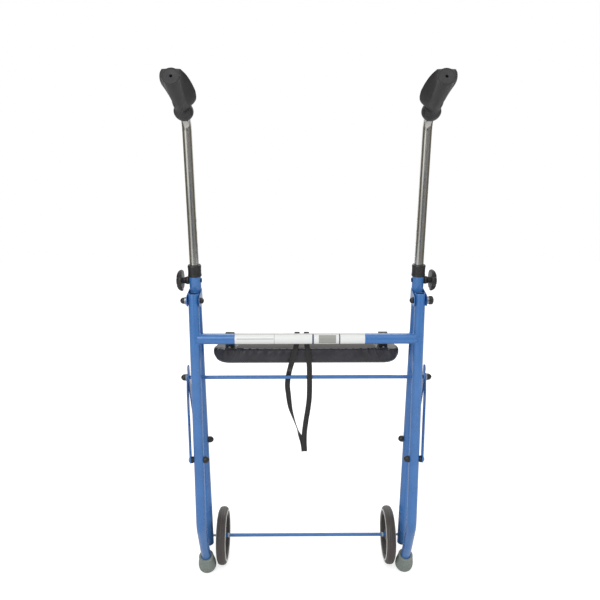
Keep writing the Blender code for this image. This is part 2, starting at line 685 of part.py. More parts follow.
def handle(side, word, looks):
    """Chrome tube that slides in the leg, with its moulded grip."""
    slide = joint_empty(f"handle_{word}_slide", side * LEG_X, front_axis(KNOB_Z), FRONT_LEAN)
    up = direction(FRONT_LEAN)
    back = direction(GRIP_LEAN)
    knob = front_axis(KNOB_Z)
    low = knob - up * (HOLES_DOWN * HOLE_PITCH + TUBE_BELOW_HOLES)
    bore_end = GRIP_END - GRIP_END_WALL
    end = BALL + back * (bore_end - GAP)
    path = [low] + fillet(CORNER, low, end, HANDLE_BEND_RADIUS, 4) + [end]
    tube = swept_tube([p - knob for p in path], HANDLE_R, HANDLE_R - HANDLE_WALL, TUBE_SIDES)
    piece = add_piece(f"handle_tube_{word}", tube, looks["chrome"], place(side * LEG_X, knob), slide)
    through = (side * LEG_X - LEG_TUBE, side * LEG_X + LEG_TUBE)
    steps = range(-HOLES_DOWN, HOLES_UP + 1)
    holes = [(knob + up * HOLE_PITCH * i, HOLE_DIAMETER / 2, *through) for i in steps]
    drill(piece, f"handle_tube_{word}_holes", holes, 6)

    ball = [-BALL_FRONT, -BALL_RADIUS * 0.4, 0, BALL_RADIUS * 0.4]
    rings = [(z, math.sqrt(BALL_RADIUS ** 2 - z * z), 0, 0) for z in ball]
    rings += [
        (BALL_NECK, GRIP_RADIUS * 0.95, 0, 0),
        (BALL_NECK + 0.003, GRIP_RADIUS, GRIP_WING * 0.22, 0),
        (GRIP_END * 0.21, GRIP_RADIUS, GRIP_WING * 0.64, 0),
        (GRIP_END * 0.30, GRIP_RADIUS, GRIP_WING * 0.93, GRIP_FLARE * 0.1),
        (GRIP_END * 0.40, GRIP_RADIUS, GRIP_WING, GRIP_FLARE * 0.35),
        (GRIP_END * 0.52, GRIP_RADIUS, GRIP_WING * 0.95, GRIP_FLARE * 0.65),
        (GRIP_END * 0.65, GRIP_RADIUS, GRIP_WING * 0.76, GRIP_FLARE),
        (GRIP_END * 0.74, GRIP_RADIUS, GRIP_WING * 0.61, GRIP_FLARE * 0.99),
        (GRIP_END * 0.84, GRIP_RADIUS, GRIP_WING * 0.39, GRIP_FLARE * 0.66),
        (GRIP_END * 0.94, GRIP_RADIUS, GRIP_WING * 0.14, GRIP_FLARE * 0.16),
        (GRIP_END * 0.965, GRIP_RADIUS, 0, 0),
        (GRIP_END * 0.985, GRIP_RADIUS * 1.04, 0, 0),
        (GRIP_END, GRIP_RADIUS * 0.93, 0, 0),
        (GRIP_END, GRIP_DISC_RADIUS, 0, 0),
        (GRIP_END - GRIP_DISC_DEPTH, GRIP_DISC_RADIUS, 0, 0),
        (GRIP_END - GRIP_DISC_DEPTH, GRIP_HOLE_RADIUS, 0, 0),
        (GRIP_END - GRIP_HOLE_DEPTH, GRIP_HOLE_RADIUS, 0, 0),
    ]
    bore = HANDLE_R + GAP
    mouth = bore + GRIP_MOUTH
    inside = [(bore_end, bore, 0, 0), (-BALL_RADIUS * 0.2, bore, 0, 0), (-BALL_RADIUS * 0.35, mouth, 0, 0),
              (-BALL_FRONT, mouth, 0, 0)]
    bm = bmesh.new()
    loft(bm, [grip_section(*ring, -side) for ring in inside + rings])
    matrix = place(side * LEG_X, BALL, GRIP_LEAN)
    add_piece(f"grip_{word}", bm, looks["grip"], matrix, slide)


def lobed(radius, lobe, z, sides):
    """Ring about Z whose radius waves once for each lobe of the knob."""
    points = []
    for i in range(sides):
        angle = 2 * math.pi * i / sides
        reach = radius + lobe * math.cos(KNOB_LOBES * (angle - math.pi))
        points.append(Vector((reach * math.cos(angle), reach * math.sin(angle), z)))
    return points


def clamp_knob(side, word, looks):
    """Star knob outside the sleeve, with its screw."""
    point = front_axis(KNOB_Z)
    turn = joint_empty(f"knob_{word}_axis", side * LEG_X, point)
    matrix = across(side * LEG_X, point, side)
    start = SLEEVE_R + GAP
    flange = start + KNOB_FLANGE
    base = flange + KNOB_NECK
    bore = KNOB_SCREW / 2 + GAP
    stud_end = base + KNOB_HEAD * 0.45
    sides = KNOB_LOBES * 4
    rings = [circle(bore, stud_end, sides, 0), circle(bore, start, sides, 0),
             circle(KNOB_FLANGE_RADIUS, start, sides, 0),
             circle(KNOB_FLANGE_RADIUS, flange, sides, 0),
             circle(KNOB_NECK_RADIUS, flange + KNOB_NECK * 0.3, sides, 0),
             circle(KNOB_NECK_RADIUS, base, sides, 0),
             lobed(KNOB_RADIUS * 0.9, KNOB_LOBE, base + KNOB_HEAD * 0.04, sides),
             lobed(KNOB_RADIUS, KNOB_LOBE, base + KNOB_HEAD * 0.2, sides),
             lobed(KNOB_RADIUS * 0.97, KNOB_LOBE, base + KNOB_HEAD * 0.48, sides),
             lobed(KNOB_RADIUS * 0.80, KNOB_LOBE * 0.7, base + KNOB_HEAD * 0.80, sides),
             lobed(KNOB_RADIUS * 0.42, 0, base + KNOB_HEAD, sides)]
    bm = bmesh.new()
    loft(bm, rings)
    add_piece(f"clamp_knob_{word}", bm, looks["black"], matrix, turn)
    radius = KNOB_SCREW / 2
    tip = HANDLE_R + GAP
    screw = turned([(0, tip), (radius * 0.7, tip), (radius, tip + 0.0008), (radius, stud_end - GAP),
                    (0, stud_end - GAP)], 12)
    add_piece(f"clamp_screw_{word}", screw, looks["steel"], matrix, turn)


def seat(looks):
    """Board, padded cover, two pipe clips and their screws, turning on the front crossbar."""
    axis = joint_empty("seat_axis", 0, FRONT_BAR, -SEAT_SLOPE)
    matrix = place(0, FRONT_BAR, -SEAT_SLOPE)
    middle = SEAT_DEPTH / 2 - SEAT_OVERHANG
    face = -SEAT_OFFSET
    half_x = SEAT_WIDTH / 2
    half_y = SEAT_DEPTH / 2

    def loop(inset, depth, corner):
        outline = rounded(half_x - inset, half_y - inset, max(corner - inset, 0.004))
        return [Vector((x, y + middle, face - depth)) for x, y in outline]

    bm = bmesh.new()
    loft(bm, [loop(BOARD_INSET, 0, BOARD_CORNER + BOARD_INSET),
              loop(BOARD_INSET, BOARD_THICKNESS, BOARD_CORNER + BOARD_INSET)])
    board = add_piece("seat_board", bm, looks["board"], matrix, axis)

    pocket = BOARD_INSET - GAP
    depth = SEAT_THICKNESS
    rings = [loop(pocket, BOARD_THICKNESS + GAP, BOARD_CORNER + BOARD_INSET),
             loop(pocket, 0, BOARD_CORNER + BOARD_INSET)]
    sides = [(0.125, 0.0), (0.05, 0.10), (0.0, 0.32), (0.03, 0.55), (0.15, 0.76), (0.425, 0.91), (1.0, 0.985)]
    rings += [loop(SEAT_ROUND * inset, depth * share, SEAT_CORNER) for inset, share in sides]
    for inset, rise in ((CROWN_INSET * 0.62, 0.6), (CROWN_INSET, 1.0)):
        rings.append(loop(inset, depth + SEAT_CROWN * rise, inset + CROWN_CORNER))
    bm = bmesh.new()
    loft(bm, rings)
    add_piece("seat_cushion", bm, looks["vinyl"], matrix, axis)

    ring_in = BAR_R + GAP
    ring_out = ring_in + CLIP_WALL
    base_low = face + GAP
    base_high = base_low + CLIP_BASE
    start = math.radians(40) + CLIP_MOUTH / 2
    sweep = 2 * math.pi - CLIP_MOUTH
    steps = 16
    angles = [start + sweep * i / steps for i in range(steps + 1)]
    neck = CLIP_NECK / 2
    left = [a for a in angles if not neck > abs(ring_out * math.cos(a)) or math.sin(a) > 0]
    before = [a for a in left if a < 1.5 * math.pi]
    after = [a for a in left if a > 1.5 * math.pi]
    outline = [(ring_out * math.cos(a), ring_out * math.sin(a)) for a in before]
    outline += [(-neck, base_high), (-CLIP_BASE_LENGTH / 2, base_high), (-CLIP_BASE_LENGTH / 2, base_low),
                (CLIP_BASE_LENGTH / 2, base_low), (CLIP_BASE_LENGTH / 2, base_high), (neck, base_high)]
    outline += [(ring_out * math.cos(a), ring_out * math.sin(a)) for a in after]
    outline += [(ring_in * math.cos(a), ring_in * math.sin(a)) for a in reversed(angles)]
    board_holes = bmesh.new()
    for side, word in SIDES:
        x = side * CLIP_SPACING / 2
        clip = prism(outline, x - CLIP_WIDTH / 2, x + CLIP_WIDTH / 2)
        made = add_piece(f"seat_clip_{word}", clip, looks["black"], matrix @ SIDE_VIEW, axis)
        clip_holes = bmesh.new()
        for end, place_word in ((-1, "back"), (1, "front")):
            centre = Vector((x, end * SCREW_SPACING / 2, 0))
            top = base_high + GAP
            low = base_high - SCREW_LENGTH
            profile = [(0, low), (SCREW_RADIUS, low + 0.001), (SCREW_RADIUS, top), (SCREW_HEAD_RADIUS, top),
                       (SCREW_HEAD_RADIUS * 0.6, top + SCREW_HEAD), (0, top + SCREW_HEAD)]
            add_piece(f"seat_screw_{word}_{place_word}", turned(profile, 10), looks["steel"],
                      matrix @ Matrix.Translation(centre), axis)
            hole = [[p + centre for p in circle(SCREW_RADIUS + GAP, z, 10)]
                    for z in (low - GAP, base_high + CLIP_BASE)]
            loft(clip_holes, hole)
            loft(board_holes, hole)
        bmesh.ops.recalc_face_normals(clip_holes, faces=clip_holes.faces)
        cut(made, clip_holes, matrix, f"seat_clip_{word}_holes")
    bmesh.ops.recalc_face_normals(board_holes, faces=board_holes.faces)
    cut(board, board_holes, matrix, "seat_board_holes")


def strap_points():
    """Centre line of the pull strap: over the crossbar, down, round its end and up again."""
    radius = BAR_R + GAP + STRAP_THICKNESS / 2
    wrap = [math.radians(a) for a in range(-50, 191, 24)]
    over = [FRONT_BAR + Vector((math.cos(a), math.sin(a))) * radius for a in wrap]
    rod_back = KNUCKLE.x + ROD_R + 0.0016
    rod_front = KNUCKLE.x - ROD_R - 0.0016
    wall = FRONT_BAR.x - 0.0338
    left = [(-0.0228, wall + 0.0105, 0.5672), (-0.0245, wall + 0.0040, 0.5600), (-0.0292, wall, 0.5420),
            (-0.0345, wall + 0.0010, 0.5250), (-0.0385, rod_back - 0.0010, 0.5020), (-0.0405, rod_back, 0.4900),
            (-0.0417, rod_back - 0.0005, 0.4740), (-0.0397, rod_back - 0.0010, 0.4523),
            (-0.0334, rod_back - 0.0020, 0.4238), (-0.0238, rod_back - 0.0035, 0.3977),
            (-0.0120, rod_back - 0.0055, 0.3600), (-0.0055, rod_back - 0.0068, 0.3320)]
    right = [(0.0010, wall + 0.0105, 0.5672), (0.0020, wall + 0.0040, 0.5600), (0.0040, wall, 0.5420),
             (0.0055, wall, 0.5250), (0.0052, rod_front - 0.0010, 0.4950), (0.0044, rod_front, 0.4777),
             (0.0010, rod_front, 0.4523), (-0.0020, rod_front + 0.0004, 0.4238),
             (-0.0041, rod_front + 0.0012, 0.3880), (-0.0050, rod_front + 0.0028, 0.3560),
             (-0.0048, rod_front + 0.0036, 0.3320)]
    end = [(-0.0050, rod_back - 0.0072, 0.3230), (-0.0048, (rod_back + rod_front) / 2 - 0.0019, 0.3180),
           (-0.0046, rod_front + 0.0030, 0.3230)]
    path = [Vector((-0.0220, p.x, p.y)) for p in over] + [Vector(p) for p in left] + [Vector(p) for p in end]
    path += [Vector(p) for p in reversed(right)] + [Vector((0.0, p.x, p.y)) for p in reversed(over)]
    return path


def pull_strap(looks):
    """Flat webbing swept along its centre line, its width across the walker."""
    path = strap_points()
    rings = []
    width_axis = Vector((1, 0, 0))
    for i, point in enumerate(path):
        along = (path[min(i + 1, len(path) - 1)] - path[max(i - 1, 0)]).normalized()
        wide = (width_axis - along * width_axis.dot(along)).normalized() * STRAP_WIDTH / 2
        thick = along.cross(wide).normalized() * STRAP_THICKNESS / 2
        rings.append([point + wide + thick, point - wide + thick, point - wide - thick, point + wide - thick])
    bm = bmesh.new()
    loft(bm, rings)
    add_piece("pull_strap", bm, looks["webbing"], Matrix.Identity(4))


def build():
    """Makes every piece of the walker."""
    clear_scene()
    looks = make_looks()
    rear_frame = joint_empty("rear_frame_hinge", 0, HINGE)
    front_links = joint_empty("front_link_axis", 0, FRONT_LINK)
    rear_links = joint_empty("rear_link_axis", 0, REAR_LINK, 0, rear_frame)
    inner_face = LEG_X - LEG_R - GAP

    for side, word in SIDES:
        front_leg(side, word, looks)
        collar(side, word, looks)
        hinge_socket(side, word, looks)
        axle(side, word, looks)
        wheel(side, word, looks)
        rear_leg(side, word, looks, rear_frame)
        handle(side, word, looks)
        clamp_knob(side, word, looks)
        link(f"front_link_{word}", side, FRONT_LINK, LINK_IN_X, LINK_TAIL, ROD_R + GAP, looks, front_links)
        link(f"rear_link_{word}", side, REAR_LINK, LINK_OUT_X, 0.0, BOLT_HOLE_R, looks, rear_links)
        link_bolt(f"front_link_bolt_{word}", side, FRONT_LINK, inner_face,
                  LINK_IN_X + LINK_THICKNESS + GAP, looks)
        link_bolt(f"rear_link_bolt_{word}", side, REAR_LINK, inner_face,
                  LINK_OUT_X + LINK_THICKNESS + GAP, looks, rear_frame)
        link_spacer(f"front_link_spacer_{word}", side, FRONT_LINK, LINK_IN_X, looks)
        link_spacer(f"rear_link_spacer_{word}", side, REAR_LINK, LINK_OUT_X, looks, rear_frame)
        knuckle_cap(side, word, looks, rear_links)

    crossbar("front_crossbar", FRONT_BAR, FRONT_LEAN, looks)
    crossbar("rear_crossbar", REAR_BAR, -REAR_LEAN, looks, rear_frame)
    axle_rod(looks)
    rod_end = LINK_IN_X + LINK_THICKNESS
    rod = turned([(ROD_R, -rod_end), (ROD_R, rod_end)], 12)
    add_piece("link_cross_rod", rod, looks["blue"], across(0, KNUCKLE, 1), front_links)
    seat(looks)
    pull_strap(looks)


build()
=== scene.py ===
import math

import bmesh
import bpy
import numpy as np
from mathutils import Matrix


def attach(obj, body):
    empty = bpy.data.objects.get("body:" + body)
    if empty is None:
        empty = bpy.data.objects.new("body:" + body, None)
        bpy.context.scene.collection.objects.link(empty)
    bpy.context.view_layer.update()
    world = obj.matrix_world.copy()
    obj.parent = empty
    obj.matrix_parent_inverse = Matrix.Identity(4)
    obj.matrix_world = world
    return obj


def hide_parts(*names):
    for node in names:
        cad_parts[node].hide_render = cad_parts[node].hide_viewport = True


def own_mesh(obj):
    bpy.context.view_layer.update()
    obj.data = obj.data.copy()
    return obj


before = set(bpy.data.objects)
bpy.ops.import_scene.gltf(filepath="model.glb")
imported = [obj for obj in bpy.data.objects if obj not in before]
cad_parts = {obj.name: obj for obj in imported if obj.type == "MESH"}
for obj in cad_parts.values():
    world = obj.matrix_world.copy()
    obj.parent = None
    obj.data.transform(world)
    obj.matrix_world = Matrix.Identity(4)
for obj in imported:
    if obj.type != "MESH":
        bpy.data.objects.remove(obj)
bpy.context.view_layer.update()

# Looks of the folding walker. Metres, +Z up, +Y the way the user walks, +X the user's right.
# A point of the side view is (y, z). Sizes here are those of the frame's own solids.
SIDES = ((-1, "left"), (1, "right"))
GAP = 0.0003
LEG_X = 0.235
LEG_R = 0.011
LEG_WALL = 0.0012
HANDLE_R = 0.0095
HANDLE_WALL = 0.0012
SLEEVE_R = 0.0123
BAR_R = 0.011
BOLT_R = 0.003
ROD_R = 0.004
FRONT_LEAN = math.radians(3.56)
REAR_LEAN = math.radians(3.33)
LOWER_LEAN = math.radians(27.0) - REAR_LEAN
HINGE = np.array([-0.02145, 0.672])
LEG_SPREAD = 0.032
REAR_TOP = 0.0150
SOCKET_BOTTOM_Z = 0.660
EAR_TOP_Z = 0.690
EAR_RADIUS = 0.0125
EAR_PLATE = 0.0024
STRIP_PLATE = 0.0013           # steel of the bent bracket inside the ears' thickness
COLLAR_BOTTOM_Z = 0.718
COLLAR_HEIGHT = 0.0248
COLLAR_LIP = 0.0032
KNOB_Z = 0.709
KNOB_FLANGE = 0.0045
KNOB_NECK = 0.0087
KNOB_HEAD = 0.0127
HOLE_PITCH = 0.0254
HOLE_RADIUS = 0.0034
WHEEL_X = 0.200
WHEEL_RADIUS = 0.067
AXLE_Z = 0.066677
LINK_IN_X = 0.254
LINK_THICKNESS = 0.0028
LINK_OUT_X = LINK_IN_X + LINK_THICKNESS + GAP
LINK_WIDTH = 0.016
LINK_TAIL = 0.0225
LINK_JOGGLE = 0.0055           # how far a link's lower end is set in towards the leg
CAP_LENGTH = 0.0115
KNUCKLE = np.array([-0.00195, 0.495])
SEAT_SLOPE = math.radians(10.0)
SEAT_HALF = np.array([0.2005, 0.085])
SEAT_MIDDLE = 0.0615
SEAT_FACE = 0.0225
SEAT_CORNER = 0.034
CLIP_X = 0.1658
FELT_HALF = np.array([0.1515, 0.0765])
FELT_CORNER = 0.024
REST_LINE = 0.0479              # where the rear crossbar meets the seat in use, forward of its middle
FRONT_BAR_Z = 0.578
REAR_BAR_Z = 0.590
FRONT_LINK_Z = 0.330
REAR_LINK_Z = 0.319
CORNER_Z = 1.0333
LEG_BEND_Z = 0.157
LEG_BEND_RADIUS = 0.060
HANDLE_BEND_RADIUS = 0.036
HOLE_COUNT = 8
HOLES_BELOW_KNOB = 2
TUBE_TAIL = 0.020               # handle tube below its lowest hole
GRIP_LENGTH = 0.122
GRIP_END_WALL = 0.014           # rubber beyond the end of the handle tube
BALL_OUT = 0.030                # from the handle tube's corner to the grip's ball
BALL_RADIUS = 0.0188
KNOB_LOBES = 5
WASHER_STACK = 0.0046           # between a hinge's ear and its outer cap
HINGE_CAPS = {"left": (0.0067, 0.0090, 0.25), "right": (0.0090, 0.0098, 0.55)}  # radius, length, shoulder
WELD_DEPTH = 0.0006             # how far a crossbar's coped end runs into the leg
BEAD_RADIUS = 0.0013
BEAD_RIPPLE = 0.00018
LABEL_START = -0.1507
LABEL_LENGTH = 0.2722
WHEEL_ARMS = 5
STRAP_HALF_WIDTH = 0.00575
STRAP_HALF_THICKNESS = 0.0007
FOAM_REACH = 0.004              # cap on how far the simulation may push a point of the cover
FOAM_FRAMES = 20
PLEAT_STEP = 0.0182
CREASE_STEP = 0.0075            # the finer creases between the pleats
PLEAT_DEPTH = 0.0040
STAPLE_HALF = 0.0050
PLEAT_RUN = 1.104               # what the pleats count as once round the seat, whose outline is 1.084
PLEAT_LEAN = 0.55               # sideways run of a pleat for each unit of its depth
CROWN_INSET = 0.034
CROWN_HEIGHT = 0.0328
CLIP_WALL = 0.0030
CLIP_FOOT = 0.0040
CLIP_FOOT_HALF = 0.019
CLIP_HALF_WIDTH = 0.0095
NECK_RADIUS = 0.0138            # grip between its ball and the palm plate
STRAP_LIFT = 0.0021             # from the front crossbar's surface to the strap's middle, less GAP
STRAP_CLEAR = 0.0016            # from the cross rod's surface to the strap's middle
TWIST_Z = 0.372                 # height where the strap's left run is turned most
AXLE_ROD_END = 0.0063           # from the wheel's middle plane to the axle rod's end
AXLE_BOLT_REACH = 0.027         # from the wheel's middle plane to the axle bolt's tip, less GAP
CAMERA_SPOT = (-0.0245, -1.2301, 0.9754)
CAMERA_DIP = 0.24517            # below level
CAMERA_TURN = -0.00839


def front_axis(z):
    """Point (y, z) of a front leg's centre line at height z: a straight line leaning to the user."""
    return np.array([HINGE[0] + LEG_SPREAD + (HINGE[1] - z) * math.tan(FRONT_LEAN), z])


def rear_axis(z):
    """Point (y, z) of a rear leg's centre line at height z, above its bend."""
    return np.array([HINGE[0] - (HINGE[1] - z) * math.tan(REAR_LEAN), z])


def upward(lean):
    """Unit vector (y, z) that points up and leans towards the user by this angle."""
    return np.array([-math.sin(lean), math.cos(lean)])


AXLE = front_axis(AXLE_Z)
FRONT_BAR = front_axis(FRONT_BAR_Z)
REAR_BAR = rear_axis(REAR_BAR_Z)
FRONT_LINK = front_axis(FRONT_LINK_Z)
REAR_LINK = rear_axis(REAR_LINK_Z)
KNOB = front_axis(KNOB_Z)
CORNER = front_axis(CORNER_Z)
LEG_TOP_Z = COLLAR_BOTTOM_Z + (COLLAR_HEIGHT - COLLAR_LIP - GAP) * math.cos(FRONT_LEAN)
GRIP_LEAN = math.radians(90.0 - 25.1)   # the grip rises by 25.1 degrees from level
BALL = CORNER + upward(GRIP_LEAN) * BALL_OUT
BEND = rear_axis(LEG_BEND_Z)
TIP = np.array([0.014189, 0.007336])


def at(x, point):
    """Point of the world at side x and side view point (y, z)."""
    return np.array([x, point[0], point[1]])


def linear(code):
    """Linear colour from sRGB hex digits."""
    values = np.array([int(code[i:i + 2], 16) for i in (0, 2, 4)]) / 255
    low = values / 12.92
    high = ((values + 0.055) / 1.055) ** 2.4
    return (*np.where(values <= 0.04045, low, high).tolist(), 1.0)


def add_node(tree, kind, values=None, links=None, **settings):
    """Adds a node: settings are its own properties, values its input values, links what feeds its inputs."""
    made = tree.nodes.new(kind)
    for key, value in settings.items():
        setattr(made, key, value)
    for key, value in (values or {}).items():
        made.inputs[key].default_value = value
    for key, source in (links or {}).items():
        tree.links.new(source, made.inputs[key])
    return made


def new_look(name, **shader_values):
    """Material with a Principled shader. Underscores in a value's name stand for spaces."""
    look = bpy.data.materials.new(name)
    look.use_nodes = True
    shader = look.node_tree.nodes["Principled BSDF"]
    for key, value in shader_values.items():
        shader.inputs[key.replace("_", " ")].default_value = value
    return look, look.node_tree, shader


def finish_look(look, shader, light, dark, mask, rough, height, distance):
    """Feeds a shader: two colours mixed by a mask, roughness from the same mask, bump from a height."""
    tree = look.node_tree
    mix = add_node(tree, "ShaderNodeMix", {6: linear(light), 7: linear(dark)}, {0: mask}, data_type="RGBA")
    tree.links.new(mix.outputs[2], shader.inputs["Base Color"])
    spread = add_node(tree, "ShaderNodeMapRange", {"To Min": rough[0], "To Max": rough[1]}, {"Value": mask})
    tree.links.new(spread.outputs[0], shader.inputs["Roughness"])
    bump = add_node(tree, "ShaderNodeBump", {"Distance": distance, "Strength": 1.0}, {"Height": height})
    tree.links.new(bump.outputs[0], shader.inputs["Normal"])
    look.diffuse_color = linear(light)
    return look


def mottled(name, colours, rough, broad, bump, fine=None, ends=None, distortion=0.0, **shader_values):
    """Material whose two colours and roughness follow a broad noise, stretched between its ends where they
    are given. Its bump, of this height in metres, follows the fine noise or else the broad one. A noise is
    (blobs in a metre, detail), so that 400 makes them 2.5 mm across."""
    look, tree, shader = new_look(name, **shader_values)
    place = add_node(tree, "ShaderNodeTexCoord").outputs["Object"]
    values = {"Scale": broad[0], "Detail": broad[1], "Distortion": distortion}
    mask = height = add_node(tree, "ShaderNodeTexNoise", values, {"Vector": place}).outputs[0]
    if ends:
        values = {"From Min": ends[0], "From Max": ends[1]}
        mask = add_node(tree, "ShaderNodeMapRange", values, {"Value": mask}).outputs[0]
    if fine:
        values = {"Scale": fine[0], "Detail": fine[1]}
        height = add_node(tree, "ShaderNodeTexNoise", values, {"Vector": place}).outputs[0]
    return finish_look(look, shader, *colours, mask, rough, height, bump)


def streaked(name, colours, rough, stretch, detail, bump, **shader_values):
    """Material with streaks: colours, roughness and bump follow one noise, whose stretch counts its blobs in
    a metre of X, Y and Z."""
    look, tree, shader = new_look(name, **shader_values)
    place = add_node(tree, "ShaderNodeTexCoord").outputs["Object"]
    long = add_node(tree, "ShaderNodeMapping", {"Scale": stretch}, {"Vector": place}).outputs[0]
    values = {"Scale": 1.0, "Detail": detail}
    marks = add_node(tree, "ShaderNodeTexNoise", values, {"Vector": long}).outputs[0]
    return finish_look(look, shader, *colours, marks, rough, marks, bump)


def soft_grip_rubber():
    """Thermoplastic rubber moulded on the handle: matt, with a fine grain and paler rubbed patches. The palm
    plate and the core's own sides take a darker colour by their sideways distance from the tube: painted shade,
    standing for the shade on the plate's underside."""
    look = mottled("soft_grip_rubber", ("3a393b", "424042"), (0.46, 0.56), (45.0, 2.0), 0.00003,
                   (1400.0, 3.0), (0.4, 0.75), IOR=1.5, Specular_IOR_Level=0.3, Sheen_Weight=0.04,
                   Sheen_Roughness=0.5)
    tree = look.node_tree
    base = tree.nodes["Principled BSDF"].inputs["Base Color"]
    core = base.links[0].from_socket
    place = add_node(tree, "ShaderNodeTexCoord").outputs["Object"]
    spot = add_node(tree, "ShaderNodeSeparateXYZ", links={"Vector": place})
    out = add_node(tree, "ShaderNodeMath", links={0: spot.outputs[0]}, operation="ABSOLUTE")
    off = add_node(tree, "ShaderNodeMath", {1: LEG_X}, {0: out.outputs[0]}, operation="SUBTRACT")
    beside = add_node(tree, "ShaderNodeMath", links={0: off.outputs[0]}, operation="ABSOLUTE")
    painted_plate_shade = add_node(tree, "ShaderNodeMapRange", {"From Min": 0.0138, "From Max": 0.0150},
                           {"Value": beside.outputs[0]})
    # painted shade: from 0.0138 to 0.0150 m sideways of the tube's axis the colour turns to 2b2829, darkening
    # the palm plate and the core's sides
    both = add_node(tree, "ShaderNodeMix", {7: linear("2b2829")}, {0: painted_plate_shade.outputs[0], 6: core},
                    data_type="RGBA")
    tree.links.new(both.outputs[2], base)
    return look


def vinyl_leathercloth():
    """PVC-coated cloth over foam: leather grain 1.2 mm across, with a soft gloss on its stretched edges."""
    look, tree, shader = new_look("vinyl_leathercloth", IOR=1.52, Specular_IOR_Level=0.16, Coat_Weight=0.2,
                                  Coat_Roughness=0.18)
    place = add_node(tree, "ShaderNodeTexCoord").outputs["Object"]
    grain = add_node(tree, "ShaderNodeTexVoronoi", {"Scale": 820.0}, {"Vector": place}).outputs[0]
    broad = add_node(tree, "ShaderNodeTexNoise", {"Scale": 40.0, "Detail": 4.0}, {"Vector": place}).outputs[0]
    ends = {"From Min": 0.35, "From Max": 0.7}
    mask = add_node(tree, "ShaderNodeMapRange", ends, {"Value": broad}).outputs[0]
    return finish_look(look, shader, "38373b", "424146", mask, (0.32, 0.44), grain, 0.00008)


def polypropylene_webbing():
    """Woven strap: ribs 1.6 mm apart across it and four warp lines along it, read from the strap's own UV."""
    look, tree, shader = new_look("polypropylene_webbing", IOR=1.49, Sheen_Weight=0.25, Sheen_Roughness=0.4)
    own = add_node(tree, "ShaderNodeTexCoord").outputs["UV"]
    split = add_node(tree, "ShaderNodeSeparateXYZ", links={"Vector": own})
    rib_turns = 2 * math.pi / 0.0016
    warp_turns = 2 * math.pi / 0.0025
    across = add_node(tree, "ShaderNodeMath", {1: rib_turns}, {0: split.outputs[1]}, operation="MULTIPLY")
    rib = add_node(tree, "ShaderNodeMath", links={0: across.outputs[0]}, operation="SINE")
    along = add_node(tree, "ShaderNodeMath", {1: warp_turns}, {0: split.outputs[0]}, operation="MULTIPLY")
    warp = add_node(tree, "ShaderNodeMath", links={0: along.outputs[0]}, operation="SINE")
    both = add_node(tree, "ShaderNodeMath", links={0: rib.outputs[0], 1: warp.outputs[0]}, operation="ADD")
    ends = {"From Min": -2.0, "From Max": 2.0}
    weave = add_node(tree, "ShaderNodeMapRange", ends, {"Value": both.outputs[0]}).outputs[0]
    return finish_look(look, shader, "1f1e1e", "343232", weave, (0.7, 0.9), weave, 0.0003)


def label_film():
    """White polyester label round the bar, bare but for thin rules, a plain grey panel and a grey band along
    its lower edge that is painted shade. The pattern reads the label's own UV in metres: the first number runs
    round the bar, the second along it."""
    look, tree, shader = new_look("printed_polyester_label", IOR=1.6, Coat_Weight=0.5, Coat_Roughness=0.15)
    own = add_node(tree, "ShaderNodeTexCoord").outputs["UV"]
    split = add_node(tree, "ShaderNodeSeparateXYZ", links={"Vector": own})
    spots = {"round": split.outputs[0], "along": split.outputs[1]}

    def box(round_low, round_high, low, high):
        made = []
        for way, start, end in (("round", round_low, round_high), ("along", low, high)):
            values = {1: (start + end) / 2, 2: (end - start) / 2}
            made.append(add_node(tree, "ShaderNodeMath", values, {0: spots[way]}, operation="COMPARE"))
        inputs = {0: made[0].outputs[0], 1: made[1].outputs[0]}
        return add_node(tree, "ShaderNodeMath", links=inputs, operation="MULTIPLY").outputs[0]

    def either(first, second):
        return add_node(tree, "ShaderNodeMath", links={0: first, 1: second}, operation="MAXIMUM").outputs[0]

    grey = either(box(0.0187, 0.0200, 0.0040, 0.0810), box(0.006, 0.034, 0.0820, 0.0829))
    grey = either(grey, box(0.0108, 0.0300, 0.1755, 0.2115))
    # painted shade: the band from 0.0325 to 0.0400 round the bar greys the label's lower edge, where the bar
    # turns down from the light
    grey = either(grey, either(box(0.0068, 0.0092, 0.0, LABEL_LENGTH),
                               box(0.0325, 0.0400, 0.0, LABEL_LENGTH)))
    soft = add_node(tree, "ShaderNodeMath", {1: 0.75}, {0: grey}, operation="MULTIPLY").outputs[0]
    finish_look(look, shader, "eff1ef", "77756c", soft, (0.3, 0.4), soft, 0.00002)
    blue = either(box(0.006, 0.040, 0.1618, 0.1652), box(0.006, 0.040, 0.2178, 0.2203))
    below = shader.inputs["Base Color"].links[0].from_socket
    top = add_node(tree, "ShaderNodeMix", {7: linear("33406a")}, {0: blue, 6: below}, data_type="RGBA")
    tree.links.new(top.outputs[2], shader.inputs["Base Color"])
    return look


